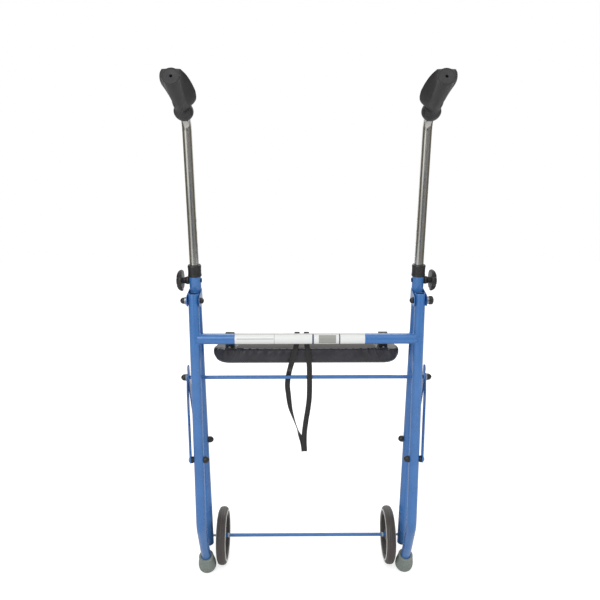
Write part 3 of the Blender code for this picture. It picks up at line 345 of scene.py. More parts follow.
LOOKS = {
    # Polyester powder baked on steel tube: even colour, satin gloss, a soft orange peel 2.5 mm across.
    "steel": mottled("powder_coated_steel", ("447cbf", "3e74b5"), (0.22, 0.30), (22.0, 3.0), 0.00006,
                     (400.0, 2.0), (0.35, 0.7), IOR=1.5, Coat_Weight=0.6, Coat_Roughness=0.08),
    # Bright nickel and chrome on steel tube: mirror gloss with drawing marks that run along the tube.
    "chrome": streaked("chrome_plate", ("dcdcd8", "c4c2bb"), (0.10, 0.18), (900.0, 900.0, 14.0), 3.0,
                       0.000006, Metallic=1.0),
    # Polypropylene from a spark-eroded mould: fine grain and a little dust in the hollows.
    "black": mottled("moulded_black_plastic", ("272729", "333231"), (0.34, 0.48), (160.0, 5.0), 0.00005,
                     (1800.0, 2.0), (0.42, 0.72), IOR=1.49),
    "grip": soft_grip_rubber(),
    # Vulcanised grey rubber of the ferrules: chalky, mottled, with scuffs 3 mm across.
    "tip": mottled("grey_tip_rubber", ("8d9690", "78807a"), (0.55, 0.75), (330.0, 6.0), 0.0001,
                   ends=(0.38, 0.68), IOR=1.5),
    # Solid polyurethane tread, worn matt on the crown, with grit 2 mm across.
    "tyre": mottled("tyre_rubber", ("484341", "554f4b"), (0.34, 0.55), (500.0, 5.0), 0.0001, ends=(0.4, 0.7),
                    IOR=1.5),
    # Glass-filled nylon of the rims, moulded dark grey, with faint flow marks.
    "rim": mottled("rim_nylon", ("3c3a38", "4a4744"), (0.4, 0.55), (260.0, 4.0), 0.00005, IOR=1.53),
    # Pale thermoplastic of the trim rings, slightly yellowed.
    "ring": mottled("cream_trim_ring", ("efede7", "dcd8cd"), (0.4, 0.55), (120.0, 4.0), 0.00003, IOR=1.5),
    "vinyl": vinyl_leathercloth(),
    # Spun-bonded cloth stapled under the board: brown-grey felt with matted fibres.
    "felt": mottled("spun_bonded_dust_cover", ("484137", "554d42"), (0.85, 0.95), (500.0, 8.0), 0.0002,
                    ends=(0.35, 0.65), distortion=1.5, IOR=1.5, Sheen_Weight=0.2, Sheen_Roughness=0.6),
    "webbing": polypropylene_webbing(),
    # Bright zinc on small steel fasteners, slightly clouded.
    "zinc": mottled("zinc_plated_steel", ("b4b6b6", "93959a"), (0.25, 0.42), (300.0, 4.0), 0.00002,
                    Metallic=1.0),
    # Plain moulded nylon of bushes and washers.
    "nylon": mottled("natural_nylon", ("c6cbd0", "aab3bb"), (0.4, 0.5), (200.0, 3.0), 0.00003, IOR=1.53),
    # Raw board under the seat's foam, grain along X with rings 4 mm apart.
    "board": streaked("birch_plywood", ("b39668", "94774c"), (0.6, 0.8), (12.0, 250.0, 250.0), 6.0, 0.0001,
                      IOR=1.5),
    "label": label_film(),
    # Uncoated steel of clamp screws and nuts and the knobs' bands: dark scale, thin oily gloss. The same look
    # on a thin sheet inside the rear tubes' open tops is painted shade.
    "bore": mottled("mill_scale_steel_and_bore_shade", ("232a38", "171b25"), (0.55, 0.7), (240.0, 5.0), 0.00003,
                    Metallic=0.6),
}


def cells(rows, columns, wrap_rows, wrap_columns):
    """Corners (row, column) of every cell of a grid, where a wrapped side counts on past its end."""
    row = np.arange(rows if wrap_rows else rows - 1)
    column = np.arange(columns if wrap_columns else columns - 1)
    row, column = [a.ravel() for a in np.meshgrid(row, column, indexing="ij")]
    corners = [(row, column), (row, column + 1), (row + 1, column + 1), (row + 1, column)]
    return np.stack([np.stack(c, -1) for c in corners], 1)


def patch(points, wrap_rows=False, wrap_columns=True, caps=(False, False), size=(1.0, 1.0)):
    """One grid of points (rows, columns, 3) as vertices, faces and UV, with flat caps where asked."""
    rows, columns = points.shape[:2]
    corners = cells(rows, columns, wrap_rows, wrap_columns)
    index = (corners[..., 0] % rows) * columns + corners[..., 1] % columns
    faces = index.tolist()
    across = corners[..., 1] / max(columns if wrap_columns else columns - 1, 1) * size[0]
    along = corners[..., 0] / max(rows if wrap_rows else rows - 1, 1) * size[1]
    uv = np.stack([across, along], -1).reshape(-1, 2)
    for wanted, row in zip(caps, (0, rows - 1)):
        if wanted:
            faces.append((row * columns + np.arange(columns)).tolist())
            uv = np.vstack([uv, np.zeros((columns, 2))])
    return points.reshape(-1, 3), faces, uv


def piece(name, patches, look, body, nodes=(), sharp=40.0):
    """Object from closed patches: doubles merged, normals pointing out, smooth with sharp edges kept."""
    vertices = np.vstack([p[0] for p in patches])
    starts = np.cumsum([0] + [len(p[0]) for p in patches])
    faces = [[i + start for i in face] for p, start in zip(patches, starts) for face in p[1]]
    mesh = bpy.data.meshes.new(name)
    mesh.from_pydata(vertices.tolist(), [], faces)
    layer = mesh.uv_layers.new(name="UVMap")
    layer.data.foreach_set("uv", np.vstack([p[2] for p in patches]).astype(np.float32).ravel())
    bm = bmesh.new()
    bm.from_mesh(mesh)
    bmesh.ops.remove_doubles(bm, verts=bm.verts, dist=0.000002)
    bmesh.ops.recalc_face_normals(bm, faces=bm.faces)
    bm.to_mesh(mesh)
    bm.free()
    mesh.shade_smooth()
    mesh.set_sharp_from_angle(angle=math.radians(sharp))
    mesh.materials.append(LOOKS[look])
    made = bpy.data.objects.new(name, mesh)
    bpy.context.scene.collection.objects.link(made)
    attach(made, body)
    if nodes:
        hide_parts(*nodes)
    return made


def eased(corners, reach, steps=5, closed=False):
    """Outline whose corners are rounded: each becomes a quadratic curve that starts this far from it."""
    corners = np.asarray(corners, float)
    reach = np.broadcast_to(np.asarray(reach, float), (len(corners),))
    before = np.roll(corners, 1, 0) - corners
    after = np.roll(corners, -1, 0) - corners
    lengths = [np.maximum(np.linalg.norm(v, axis=1, keepdims=True), 1e-9) for v in (before, after)]
    back = before / lengths[0] * np.minimum(reach[:, None], lengths[0] * 0.49)
    ahead = after / lengths[1] * np.minimum(reach[:, None], lengths[1] * 0.49)
    if not closed:
        back[0] = ahead[0] = back[-1] = ahead[-1] = 0
    t = np.linspace(0, 1, steps + 1)[None, :, None]
    start, middle, end = (corners + back)[:, None], corners[:, None], (corners + ahead)[:, None]
    curve = (1 - t) ** 2 * start + 2 * t * (1 - t) * middle + t ** 2 * end
    flat = curve.reshape(-1, corners.shape[1])
    step = np.linalg.norm(np.diff(flat, axis=0), axis=1)
    return flat[np.concatenate([[True], step > 1e-7])]


def circle(count, start=0.0):
    """Unit vectors at even angles round a full turn, as an array (count, 2)."""
    angle = start + 2 * math.pi * np.arange(count) / count
    return np.stack([np.cos(angle), np.sin(angle)], -1)


def squared(values, power):
    """Values with their size raised to a power and their signs kept. A power below 1 presses the points of a
    circle out towards a square."""
    return np.sign(values) * np.abs(values) ** power


def swept(path, distances, sections, side=(1.0, 0.0, 0.0)):
    """Rows of points: each closed section (u, v) is set square to the path at its distance along it.
    u runs along the given side direction and v at right angles to it and to the path. Distances past an end
    follow the path's last direction there."""
    path = np.asarray(path, float)
    steps = np.linalg.norm(np.diff(path, axis=0), axis=1)
    length = np.concatenate([[0], np.cumsum(steps)])
    tangents = np.gradient(path, length, axis=0)
    centre = np.stack([np.interp(distances, length, path[:, k]) for k in range(3)], -1)
    along = np.stack([np.interp(distances, length, tangents[:, k]) for k in range(3)], -1)
    outside = np.clip(distances, None, 0) + np.clip(np.asarray(distances) - length[-1], 0, None)
    centre = centre + along * outside[:, None]
    along /= np.linalg.norm(along, axis=1, keepdims=True)
    u = np.asarray(side) - along * (along @ np.asarray(side))[:, None]
    u /= np.linalg.norm(u, axis=1, keepdims=True)
    v = np.cross(along, u)
    sections = np.broadcast_to(sections, (len(centre), *np.shape(sections)[-2:]))
    return centre[:, None] + sections[..., :1] * u[:, None] + sections[..., 1:] * v[:, None]


def turned(origin, axis, profile, count=48, closed=False, side=(1.0, 0.0, 0.0)):
    """Surface of revolution: (radius, height) points of the profile carried round an axis from its origin."""
    profile = np.asarray(profile, float)
    axis = np.asarray(axis, float) / np.linalg.norm(axis)
    path = np.array([origin, np.asarray(origin) + axis])
    sections = profile[:, :1, None] * circle(count)[None]
    points = swept(path, profile[:, 1], sections, side)
    caps = (False, False) if closed else tuple(r > 1e-6 for r in (profile[0, 0], profile[-1, 0]))
    return patch(points, wrap_rows=closed, caps=caps)


def outward(side, point, profile, count=40, closed=False):
    """Turned piece on a cross axis through a side view point: heights are distances from the middle plane."""
    return turned(at(0, point), (side, 0, 0), profile, count, closed, side=(0.0, 1.0, 0.0))


def pipe(path, outer, inner, count=48, rim=0.0004, bends=60):
    """Round tube with a wall along a path: outside, eased rim, bore and eased rim, as one closed ring."""
    path = np.asarray(path, float)
    length = np.linalg.norm(np.diff(path, axis=0), axis=1).sum()
    run = np.linspace(rim, length - rim, bends)
    wall = (outer + inner) / 2
    far = [(outer - rim * 0.3, length - rim * 0.3), (wall, length), (inner + rim * 0.3, length - rim * 0.3)]
    near = [(inner + rim * 0.3, rim * 0.3), (wall, 0.0), (outer - rim * 0.3, rim * 0.3)]
    rows = [(outer, s) for s in run] + far + [(inner, s) for s in run[::-1]] + near
    rows = np.array(rows)
    return patch(swept(path, rows[:, 1], rows[:, :1, None] * circle(count)[None]), wrap_rows=True)


def offset(outline, distance):
    """Closed outline moved inwards by a distance, along the mean normal of each point's two edges."""
    edge = np.roll(outline, -1, 0) - outline
    edge /= np.linalg.norm(edge, axis=1, keepdims=True)
    normal = np.stack([-edge[:, 1], edge[:, 0]], -1)
    mean = normal + np.roll(normal, 1, 0)
    mean /= np.maximum(np.linalg.norm(mean, axis=1, keepdims=True), 1e-9)
    turn = np.sum(mean * normal, axis=1, keepdims=True)
    area = np.sum(outline[:, 0] * np.roll(outline[:, 1], -1) - outline[:, 1] * np.roll(outline[:, 0], -1))
    return outline + mean * distance * math.copysign(1, area) / np.maximum(turn, 0.3)


def plate(outline, low, high, ease, origin, axes):
    """Flat piece: a closed outline (u, v) from low to high along the third axis, its edges rounded over."""
    quarter = np.linspace(0, math.pi / 2, 4)
    edge = ease * (1 - np.sin(quarter))
    inset = np.concatenate([[2 * ease], edge, edge[::-1], [2 * ease]])
    depth = ease * (1 - np.cos(quarter))
    level = np.concatenate([[low], low + depth, high - depth[::-1], [high]])
    rows = []
    for step, height in zip(inset, level):
        flat = offset(np.asarray(outline, float), step)
        rows.append(np.column_stack([flat, np.full(len(flat), height)]))
    points = np.array(rows) @ np.asarray(axes, float) + np.asarray(origin, float)
    return patch(points, caps=(True, True))


def leaned_axes(lean):
    """Axes of a plate drawn in the side view and turned by a lean: u forward, v up, third to the right."""
    up = upward(lean)
    return np.array([[0.0, up[1], -up[0]], [0.0, up[0], up[1]], [1.0, 0.0, 0.0]])


def arc_path(start, corner, end, radius, steps=24):
    """Points of the side view from start to end, with the corner between them rounded to this radius."""
    back = (start - corner) / np.linalg.norm(start - corner)
    ahead = (end - corner) / np.linalg.norm(end - corner)
    half = math.acos(float(np.clip(back @ ahead, -1, 1))) / 2
    middle = back + ahead
    centre = corner + middle / np.linalg.norm(middle) * radius / math.sin(half)
    first = corner + back * radius / math.tan(half) - centre
    last = corner + ahead * radius / math.tan(half) - centre
    turn = math.atan2(first[0] * last[1] - first[1] * last[0], first @ last)
    angle = np.linspace(0, turn, steps)
    swing = np.stack([first[0] * np.cos(angle) - first[1] * np.sin(angle),
                      first[0] * np.sin(angle) + first[1] * np.cos(angle)], -1)
    straight = [start + (centre + first - start) * t for t in np.linspace(0, 0.98, 12)]
    rest = [centre + last + (end - centre - last) * t for t in np.linspace(0.02, 1, 12)]
    return np.vstack([straight, centre + swing, rest])


def lifted(x, flat):
    """Side view points as points of the world at side x."""
    return np.column_stack([np.full(len(flat), x), flat])


def smooth_curve(x, knots, values):
    """Curve through knots with no overshoot: cubic pieces whose slope at a knot is the harmonic mean of the
    slopes on its two sides, or level where these differ in sign."""
    knots, values = np.asarray(knots, float), np.asarray(values, float)
    slope = np.diff(values) / np.diff(knots)
    harmonic = 2 * slope[1:] * slope[:-1] / (slope[1:] + slope[:-1] + 1e-12)
    inner = np.where(slope[1:] * slope[:-1] > 0, harmonic, 0)
    tangent = np.concatenate([[slope[0]], inner, [slope[-1]]])
    i = np.clip(np.searchsorted(knots, x) - 1, 0, len(knots) - 2)
    h = knots[i + 1] - knots[i]
    t = np.clip((x - knots[i]) / h, 0, 1)
    return ((1 + 2 * t) * (1 - t) ** 2 * values[i] + t * (1 - t) ** 2 * h * tangent[i]
            + t * t * (3 - 2 * t) * values[i + 1] + t * t * (t - 1) * h * tangent[i + 1])


def dome(radius, start, length, shoulder=0.35, nose=1.0, steps=10):
    """Profile of a cap: straight for a share of its length, then radius times a power of the cosine of a
    quarter turn, so that a nose above 1 draws it to a point."""
    angle = np.linspace(0, math.pi / 2, steps)
    straight = start + length * shoulder
    arc = np.stack([radius * np.cos(angle) ** nose, straight + length * (1 - shoulder) * np.sin(angle)], -1)
    arc[-1, 0] = 0
    return np.vstack([[(0, start)], [(radius * 0.93, start)], [(radius, start + length * 0.06)], arc])


def weld_bead(x_sign, point, lean):
    """Fillet weld where a crossbar meets a leg: a thin ring along the saddle curve, with ripples along it."""
    angle = np.linspace(0, 2 * math.pi, 120, endpoint=False)
    across = BAR_R * np.cos(angle)
    reach = np.sqrt(np.maximum(LEG_R ** 2 - across ** 2, (0.25 * LEG_R) ** 2))
    forward = np.array([0, math.cos(lean), math.sin(lean)])
    up = np.array([0, -math.sin(lean), math.cos(lean)])
    ring = at(x_sign * LEG_X, point) + across[:, None] * forward + (BAR_R * np.sin(angle))[:, None] * up
    ring[:, 0] -= x_sign * reach
    width = BEAD_RADIUS + BEAD_RIPPLE * np.sin(angle * 26)
    out = np.cos(angle)[:, None] * forward + np.sin(angle)[:, None] * up
    bar_way = np.array([-x_sign, 0.0, 0.0])
    loop = circle(8)
    spread = loop[None, :, :1] * out[:, None] + loop[None, :, 1:] * bar_way
    return patch(ring[:, None] + width[:, None, None] * spread, wrap_rows=True)


def front_leg(side, word):
    """Straight steel tube of the front frame, with the moulded plug in its lower end."""
    low = AXLE - upward(FRONT_LEAN) * 0.020
    path = lifted(side * LEG_X, np.array([low, front_axis(LEG_TOP_Z)]))
    piece(f"leg_tube_front_{word}", [pipe(path, LEG_R, LEG_R - LEG_WALL, bends=8)], "steel", "front_frame",
          [f"front_leg_{word}"])
    stem = LEG_R - 0.0016
    head = eased([(0, -0.0033), (LEG_R * 0.9, -0.0033), (LEG_R, -0.0018), (LEG_R, -GAP), (stem, -GAP),
                  (stem, 0.0115), (0, 0.0115)], 0.0008)
    plug = turned(at(side * LEG_X, low), (0, *upward(FRONT_LEAN)), head)
    piece(f"end_plug_{word}", [plug], "black", "front_frame", [f"front_leg_plug_{word}"])


def bracket_strip(side):
    """Steel strip bent to a U round the sleeve, its two arms running back past the hinge bolt. The plan path
    is two straight arms and half a circle; each of its points carries an upright section whose top and
    bottom follow the arms' outline in the side view: round about the bolt, then straight to the sleeve."""
    up = upward(FRONT_LEAN)
    forward = LEG_SPREAD * math.cos(FRONT_LEAN)
    low, high = [float((front_axis(z) - HINGE) @ up) for z in (SOCKET_BOTTOM_Z + 0.001, EAR_TOP_Z)]
    middle = SLEEVE_R + 0.0001 + STRIP_PLATE / 2
    round_end = -EAR_RADIUS * np.cos(np.linspace(0, math.pi / 2, 28))
    arm = np.concatenate([round_end, np.linspace(0.001, forward, 24)])
    swing = np.linspace(-math.pi / 2, math.pi / 2, 42)[1:-1]
    x = np.concatenate([np.full(len(arm), -middle), middle * np.sin(swing), np.full(len(arm), middle)])
    f = np.concatenate([arm, forward + middle * np.cos(swing), arm[::-1]])
    ones = np.ones(len(arm))
    normal_x = np.concatenate([-ones, np.sin(swing), ones])
    normal_f = np.concatenate([0 * ones, np.cos(swing), 0 * ones])
    end = np.sqrt(np.maximum(EAR_RADIUS ** 2 - f ** 2, 0))
    top = np.where(f < -0.0022, end, np.interp(f, [-0.0022, forward], [0.0123, high]))
    bottom = np.where(f < 0.0062, -end, np.interp(f, [0.0062, forward], [-0.0108, low]))
    loop = squared(circle(36), 0.22)
    across = loop[None, :, 0] * STRIP_PLATE / 2
    height = (top + bottom)[:, None] / 2 + loop[None, :, 1] * (top - bottom)[:, None] / 2
    points = np.stack([f[:, None] + normal_f[:, None] * across, height,
                       x[:, None] + normal_x[:, None] * across], -1)
    return patch(points @ leaned_axes(FRONT_LEAN) + at(side * LEG_X, HINGE), caps=(True, True))


def hinge_socket(side, word):
    """Sleeve round the front leg, its welded bracket, and the capped bolt that the rear leg turns on. The two
    bolts' outer caps differ in size."""
    low, high = front_axis(SOCKET_BOTTOM_Z), front_axis(LEG_TOP_Z)
    sleeve = pipe(lifted(side * LEG_X, np.array([low, high])), SLEEVE_R, LEG_R + GAP, bends=6, rim=0.0003)
    piece(f"hinge_bracket_{word}", [sleeve, bracket_strip(side)], "steel", "front_frame",
          [f"hinge_socket_{word}"])

    face = LEG_R + 2 * GAP + EAR_PLATE
    centre = at(side * LEG_X, HINGE)
    inner = dome(0.0065, face, 0.0076, 0.3)
    radius, reach, shoulder = HINGE_CAPS[word]
    outer = dome(radius, face + WASHER_STACK, reach, shoulder)
    shank = [(0, -face), (BOLT_R, -face), (BOLT_R, face), (0, face)]
    parts = [turned(centre, (way, 0, 0), profile, count, side=(0, 1, 0))
             for way, profile, count in ((-side, inner, 32), (side, outer, 32), (side, shank, 20))]
    piece(f"hinge_bolt_caps_{word}", parts, "black", "front_frame", [f"hinge_bolt_{word}"])
    low, high = face - GAP, face + WASHER_STACK
    washer = eased([(0, low), (0.008, low), (0.008, high), (0, high)], 0.0008)
    piece(f"hinge_washer_{word}", [turned(centre, (side, 0, 0), washer, 40, side=(0, 1, 0))], "zinc",
          "front_frame")


def collar(side, word):
    """Moulded collar over the sleeve's top, slightly flared, with a lip round the chrome tube."""
    skirt = SLEEVE_R + GAP
    outer = skirt + 0.0018
    mouth = HANDLE_R + GAP
    ledge = COLLAR_HEIGHT - COLLAR_LIP
    profile = eased([(skirt, 0), (outer - 0.0004, 0), (outer, 0.0024), (outer - 0.0006, 0.006),
                     (outer - 0.0006, ledge * 0.7), (outer, COLLAR_HEIGHT - 0.0030),
                     (outer - 0.0012, COLLAR_HEIGHT), (mouth + 0.0008, COLLAR_HEIGHT),
                     (mouth, COLLAR_HEIGHT - 0.001), (mouth, ledge), (skirt, ledge)], 0.0007, closed=True)
    foot = at(side * LEG_X, front_axis(COLLAR_BOTTOM_Z))
    made = turned(foot, (0, *upward(FRONT_LEAN)), profile, 56, closed=True)
    piece(f"tube_collar_{word}", [made], "black", "front_frame", [f"collar_{word}"])


def clamp_knob(side, word):
    """Five-lobed knob: a flanged neck, a flat inner face and a low crown. Each ring's radius waves once a
    lobe, and the wave fades out towards the middle of the crown."""
    start = SLEEVE_R + GAP
    neck = start + KNOB_FLANGE
    base = neck + KNOB_NECK
    head = KNOB_HEAD
    rows = eased([
        (0.0000, start, 0), (0.0084, start, 0), (0.0086, neck, 0), (0.0070, neck + 0.0010, 0),
        (0.0066, base - 0.0010, 0), (0.0082, base, 0), (0.0205, base, 1.0), (0.0214, base + head * 0.10, 1.0),
        (0.0211, base + head * 0.26, 1.0), (0.0199, base + head * 0.48, 1.0),
        (0.0176, base + head * 0.70, 0.9), (0.0138, base + head * 0.88, 0.6),
        (0.0082, base + head * 0.98, 0.2), (0.0, base + head, 0.0)], 0.0011, 4)
    steps = 120
    angle = 2 * math.pi * np.arange(steps) / steps
    notch = np.maximum(0, np.cos(KNOB_LOBES * angle)) ** 3
    radius = rows[:, :1] + rows[:, 2:] * (0.0016 - 0.0042 * notch)[None]
    radius = np.where(rows[:, :1] < 1e-6, 0, radius)
    path = np.array([at(side * LEG_X, KNOB), at(side * (LEG_X + 1), KNOB)])
    knob = patch(swept(path, rows[:, 1], radius[..., None] * circle(steps)[None], side=(0.0, 1.0, 0.0)))
    piece(f"star_knob_{word}", [knob], "black", f"knob_{word}", [f"clamp_knob_{word}"])
    low, high = neck + 0.0006, neck + 0.0026
    band = eased([(0.0076, low), (0.0076, high), (0.0060, high), (0.0060, low)], 0.0003, closed=True)
    made = turned(at(side * LEG_X, KNOB), (side, 0, 0), band, 40, closed=True, side=(0, 1, 0))
    piece(f"knob_band_{word}", [made], "bore", f"knob_{word}")


def drilled_tube(path, outer, inner, holes, hole_radius, count=48):
    """Tube with rows of cross holes. Round each hole the unrolled wall is a grid that runs from the hole's
    circle out to a square cell; two such cells, left and right, go once round the tube."""
    path = np.asarray(path, float)
    length = np.linalg.norm(np.diff(path, axis=0), axis=1).sum()
    parts = []
    half_pitch = HOLE_PITCH / 2
    side_steps = count // 8
    edge = np.linspace(-1, 1, 2 * side_steps + 1)[:-1]
    ones = np.ones_like(edge)
    square = np.vstack([np.stack([ones, edge], -1), np.stack([-edge, ones], -1),
                        np.stack([-ones, -edge], -1), np.stack([edge, -ones], -1)])
    angle = np.arctan2(square[:, 1], square[:, 0])
    ring = np.stack([np.cos(angle), np.sin(angle)], -1)
    spread = np.linspace(0, 1, 9)[:, None] ** 1.5
    cell_angle = spread * (square[:, 0] * math.pi / 2) + (1 - spread) * (ring[:, 0] * hole_radius / outer)
    cell_run = spread * (square[:, 1] * half_pitch) + (1 - spread) * (ring[:, 1] * hole_radius)
    wall = np.linspace(0, 1, 3)[:, None, None]
    for hole in holes:
        for turn in (0.0, math.pi):
            tops = []
            a = cell_angle + turn
            for radius in (outer, inner):
                flat = np.stack([radius * np.cos(a), radius * np.sin(a)], -1)
                rows = [swept(path, hole + run, spots[:, None])[:, 0] for run, spots in zip(cell_run, flat)]
                parts.append(patch(np.array(rows)))
                tops.append(rows[0])
            parts.append(patch(tops[0] * (1 - wall) + tops[1] * wall))
    low, high = holes[0] - half_pitch, holes[-1] + half_pitch
    angles = np.concatenate([edge * math.pi / 2, edge * math.pi / 2 + math.pi])
    loop = np.stack([np.cos(angles), np.sin(angles)], -1)
    middle = (outer + inner) / 2
    for start, end, closing in ((low, 0.0, 0.0), (high, length, length)):
        run = np.linspace(start, end, 40)
        rows = [(outer, s) for s in run[:-1]] + [(outer, end), (middle, closing), (inner, end)]
        rows += [(inner, s) for s in run[:-1][::-1]]
        rows = np.array(rows)
        parts.append(patch(swept(path, rows[:, 1], rows[:, :1, None] * loop[None])))
    return parts


def handle(side, word):
    """Chrome tube with adjusting holes at one pitch, and the moulded grip on its bent end."""
    up = upward(FRONT_LEAN)
    back = upward(GRIP_LEAN)
    low = KNOB - up * (HOLES_BELOW_KNOB * HOLE_PITCH + TUBE_TAIL)
    end = BALL + back * (GRIP_LENGTH - GRIP_END_WALL - GAP)
    path = lifted(side * LEG_X, arc_path(low, CORNER, end, HANDLE_BEND_RADIUS))
    first = float((KNOB - low) @ up) - HOLES_BELOW_KNOB * HOLE_PITCH
    holes = [first + HOLE_PITCH * i for i in range(HOLE_COUNT)]
    parts = drilled_tube(path, HANDLE_R, HANDLE_R - HANDLE_WALL, holes, HOLE_RADIUS)
    piece(f"chrome_tube_{word}", parts, "chrome", f"handle_{word}", [f"handle_tube_{word}"])
    grip(side, word)


def half_section(radius, width, edge, crown, crease):
    """Half of the grip's section from straight below its core to straight above it, for rows of values. The
    columns follow the core's circle to the crease, a straight underside out to the plate's edge, a quarter
    turn round that edge and a quarter ellipse over the crown. A narrow plate melts into the circle."""
    lower, rest = np.linspace(0, 1, 22), np.arange(1, 39) / 38
    angle = np.radians(np.concatenate([-90 + (90 - crease) * lower, -crease + (90 + crease) * rest], axis=1))
    circle_u, circle_v = radius * np.cos(angle), radius * np.sin(angle)
    fold_u, fold_v = circle_u[:, 21:22], circle_v[:, 21:22]
    out = radius + width
    under = np.arange(1, 15) / 14
    bend = np.arange(1, 9) / 16 * math.pi
    over = np.arange(1, 17) / 32 * math.pi
    turn = 0.0022
    rise = np.minimum(turn, (crown - edge) * 0.7)
    plate_u = np.concatenate([circle_u[:, :22], fold_u + (out - fold_u) * under,
                              out - turn * (1 - np.cos(bend)), (out - turn) * np.cos(over)], axis=1)
    plate_v = np.concatenate([circle_v[:, :22], fold_v + (edge - fold_v) * under, edge + rise * np.sin(bend),
                              edge + rise + (crown - edge - rise) * np.sin(over)], axis=1)
    share = np.clip(width / 0.0016, 0, 1)
    share = share * share * (3 - 2 * share)
    return circle_u + (plate_u - circle_u) * share, np.minimum(circle_v + (plate_v - circle_v) * share, crown)


def grip(side, word):
    """Palm grip: a ball, a round core and a palm plate whose edge rises from the neck to the end. Core
    radius, plate widths, edge and crown heights, crease and the depth below the axis, as a share of the
    radius, are smooth curves of the distance from the ball."""
    end = GRIP_LENGTH
    run = np.concatenate([np.linspace(-0.0125, 0.022, 46), np.linspace(0.0235, 0.1166, 56),
                          [0.1170, 0.1174, 0.1178, 0.1182, 0.1186, 0.1190, 0.1194]])
    ball = np.sqrt(np.maximum(BALL_RADIUS ** 2 - run ** 2, 0))
    body = smooth_curve(run, [-0.02, 0.0132, 0.0160, 0.030, 0.1176, 0.1190],
                        [NECK_RADIUS, NECK_RADIUS, 0.0143, 0.0148, 0.0149, 0.0152])
    radius = np.where(run < 0.0132, np.maximum(ball, NECK_RADIUS), body)
    wing = smooth_curve(run, [-0.02, 0.0132, 0.0150, 0.0190, 0.0257, 0.0368, 0.048, 0.059, 0.070, 0.084,
                              0.095, 0.108, 0.1172, 0.1200],
                        [0, 0, 0.0022, 0.0058, 0.0100, 0.0147, 0.0166, 0.0171, 0.0160, 0.0136, 0.0110,
                         0.0069, 0.0027, 0.0014])
    flare = smooth_curve(run, [-0.02, 0.030, 0.048, 0.058, 0.0636, 0.0715, 0.079, 0.088, 0.097, 0.1106,
                               0.1172, 0.1200],
                         [0, 0, 0.0024, 0.0045, 0.0063, 0.0086, 0.0103, 0.0108, 0.0099, 0.0064, 0.0030,
                          0.0014])
    crease = smooth_curve(run, [-0.02, 0.015, 0.027, 0.042, 0.057, 0.074, 0.105, 0.122],
                          [86, 86, 78, 66, 45, 30, 17, 12])
    edge = smooth_curve(run, [-0.02, 0.0145, 0.117, 0.122], [0.0042, 0.0042, 0.0128, 0.0130])
    crown = smooth_curve(run, [-0.02, 0.014, 0.030, 0.090, 0.1172, 0.1190],
                         [0.02, 0.0152, 0.0150, 0.0148, 0.0144, 0.0144])
    below = smooth_curve(run, [-0.0125, -0.009, -0.005, 0.0, 0.004, 0.008, 0.012, 0.016, 0.021, 0.028, 0.038,
                               0.050, 0.065, 0.12],
                         [0.0136, 0.0154, 0.0163, 0.0165, 0.0160, 0.0148, 0.0135, 0.0125, 0.0119, 0.0121,
                          0.0132, 0.0143, 0.0148, 0.0149]) / radius
    table = np.stack([run, radius, wing, flare, edge, crown, crease, below], -1)
    plain = [0, 0, 0.0114, 0.02, 12, 1]
    start = [(0.02, 0, *plain), (0.02, 0.0098, *plain), (-0.0125, 0.0098, *plain), (-0.0132, 0.0112, *plain),
             (-0.0130, 0.0130, *plain)]
    finish = [(end - 0.0020, 0.0157, *plain), (end - 0.0007, 0.0154, *plain), (end, 0.0144, *plain),
              (end, 0.0138, *plain), (end - 0.0003, 0.0135, *plain), (end - 0.0008, 0.0133, *plain),
              (end - 0.0008, 0.0034, *plain), (end - 0.0012, 0.0028, *plain), (end - 0.009, 0.0028, *plain),
              (end - 0.009, 0.0, *plain)]
    table = np.vstack([start, table[1:], finish])
    radius, wing, flare, edge, crown, crease, below = [table[:, k:k + 1] for k in range(1, 8)]
    inner = half_section(radius, wing, edge, crown, crease)
    outer = half_section(radius, flare, edge, crown, crease)
    u = np.concatenate([inner[0], -outer[0][:, ::-1][:, 1:-1]], axis=1)
    v = np.concatenate([inner[1], outer[1][:, ::-1][:, 1:-1]], axis=1)
    v = np.where(v < 0, v * below, v)
    path = np.array([at(side * LEG_X, BALL), at(side * LEG_X, BALL + upward(GRIP_LEAN))])
    made = patch(swept(path, table[:, 0], np.stack([-side * u, v], -1)))
    piece(f"palm_grip_{word}", [made], "grip", f"handle_{word}", [f"grip_{word}"], sharp=50)


def rear_leg(side, word):
    """Bent steel tube from the hinge to its rubber ferrule."""
    top = HINGE + upward(-REAR_LEAN) * REAR_TOP
    end = TIP + upward(LOWER_LEAN) * 0.0093
    path = lifted(side * LEG_X, arc_path(top, BEND, end, LEG_BEND_RADIUS))
    piece(f"leg_tube_rear_{word}", [pipe(path, LEG_R, LEG_R - LEG_WALL, bends=110)], "steel", "rear_frame",
          [f"rear_leg_{word}"])
    # painted shade: a thin dark sheet lines the top 30 mm of the tube's bore, so that its open top looks shaded
    inside = LEG_R - LEG_WALL - 0.00005
    down = -upward(-REAR_LEAN)
    deep = lifted(side * LEG_X, np.array([top + down * 0.030, top + down * 0.0006]))
    piece(f"tube_bore_shade_rear_{word}", [pipe(deep, inside, inside - 0.0003, bends=6, rim=0.0001)], "bore",
          "rear_frame")
    bore = LEG_R + GAP
    profile = eased([(0, 0.0015), (0.0120, 0.0015), (0.0128, 0), (0.0185, 0), (0.0205, 0.0042),
                     (0.0208, 0.010), (0.0205, 0.016), (0.0196, 0.0235), (0.0180, 0.0325), (0.0168, 0.0375),
                     (0.0171, 0.0392), (0.0171, 0.0440), (0.0158, 0.0464), (bore + 0.0005, 0.0464),
                     (bore, 0.0455), (bore, 0.0090), (0, 0.0090)], 0.0012)
    tip = turned(at(side * LEG_X, TIP), (0, *upward(LOWER_LEAN)), profile, 64)
    piece(f"ferrule_{word}", [tip], "tip", "rear_frame", [f"rear_tip_{word}"])


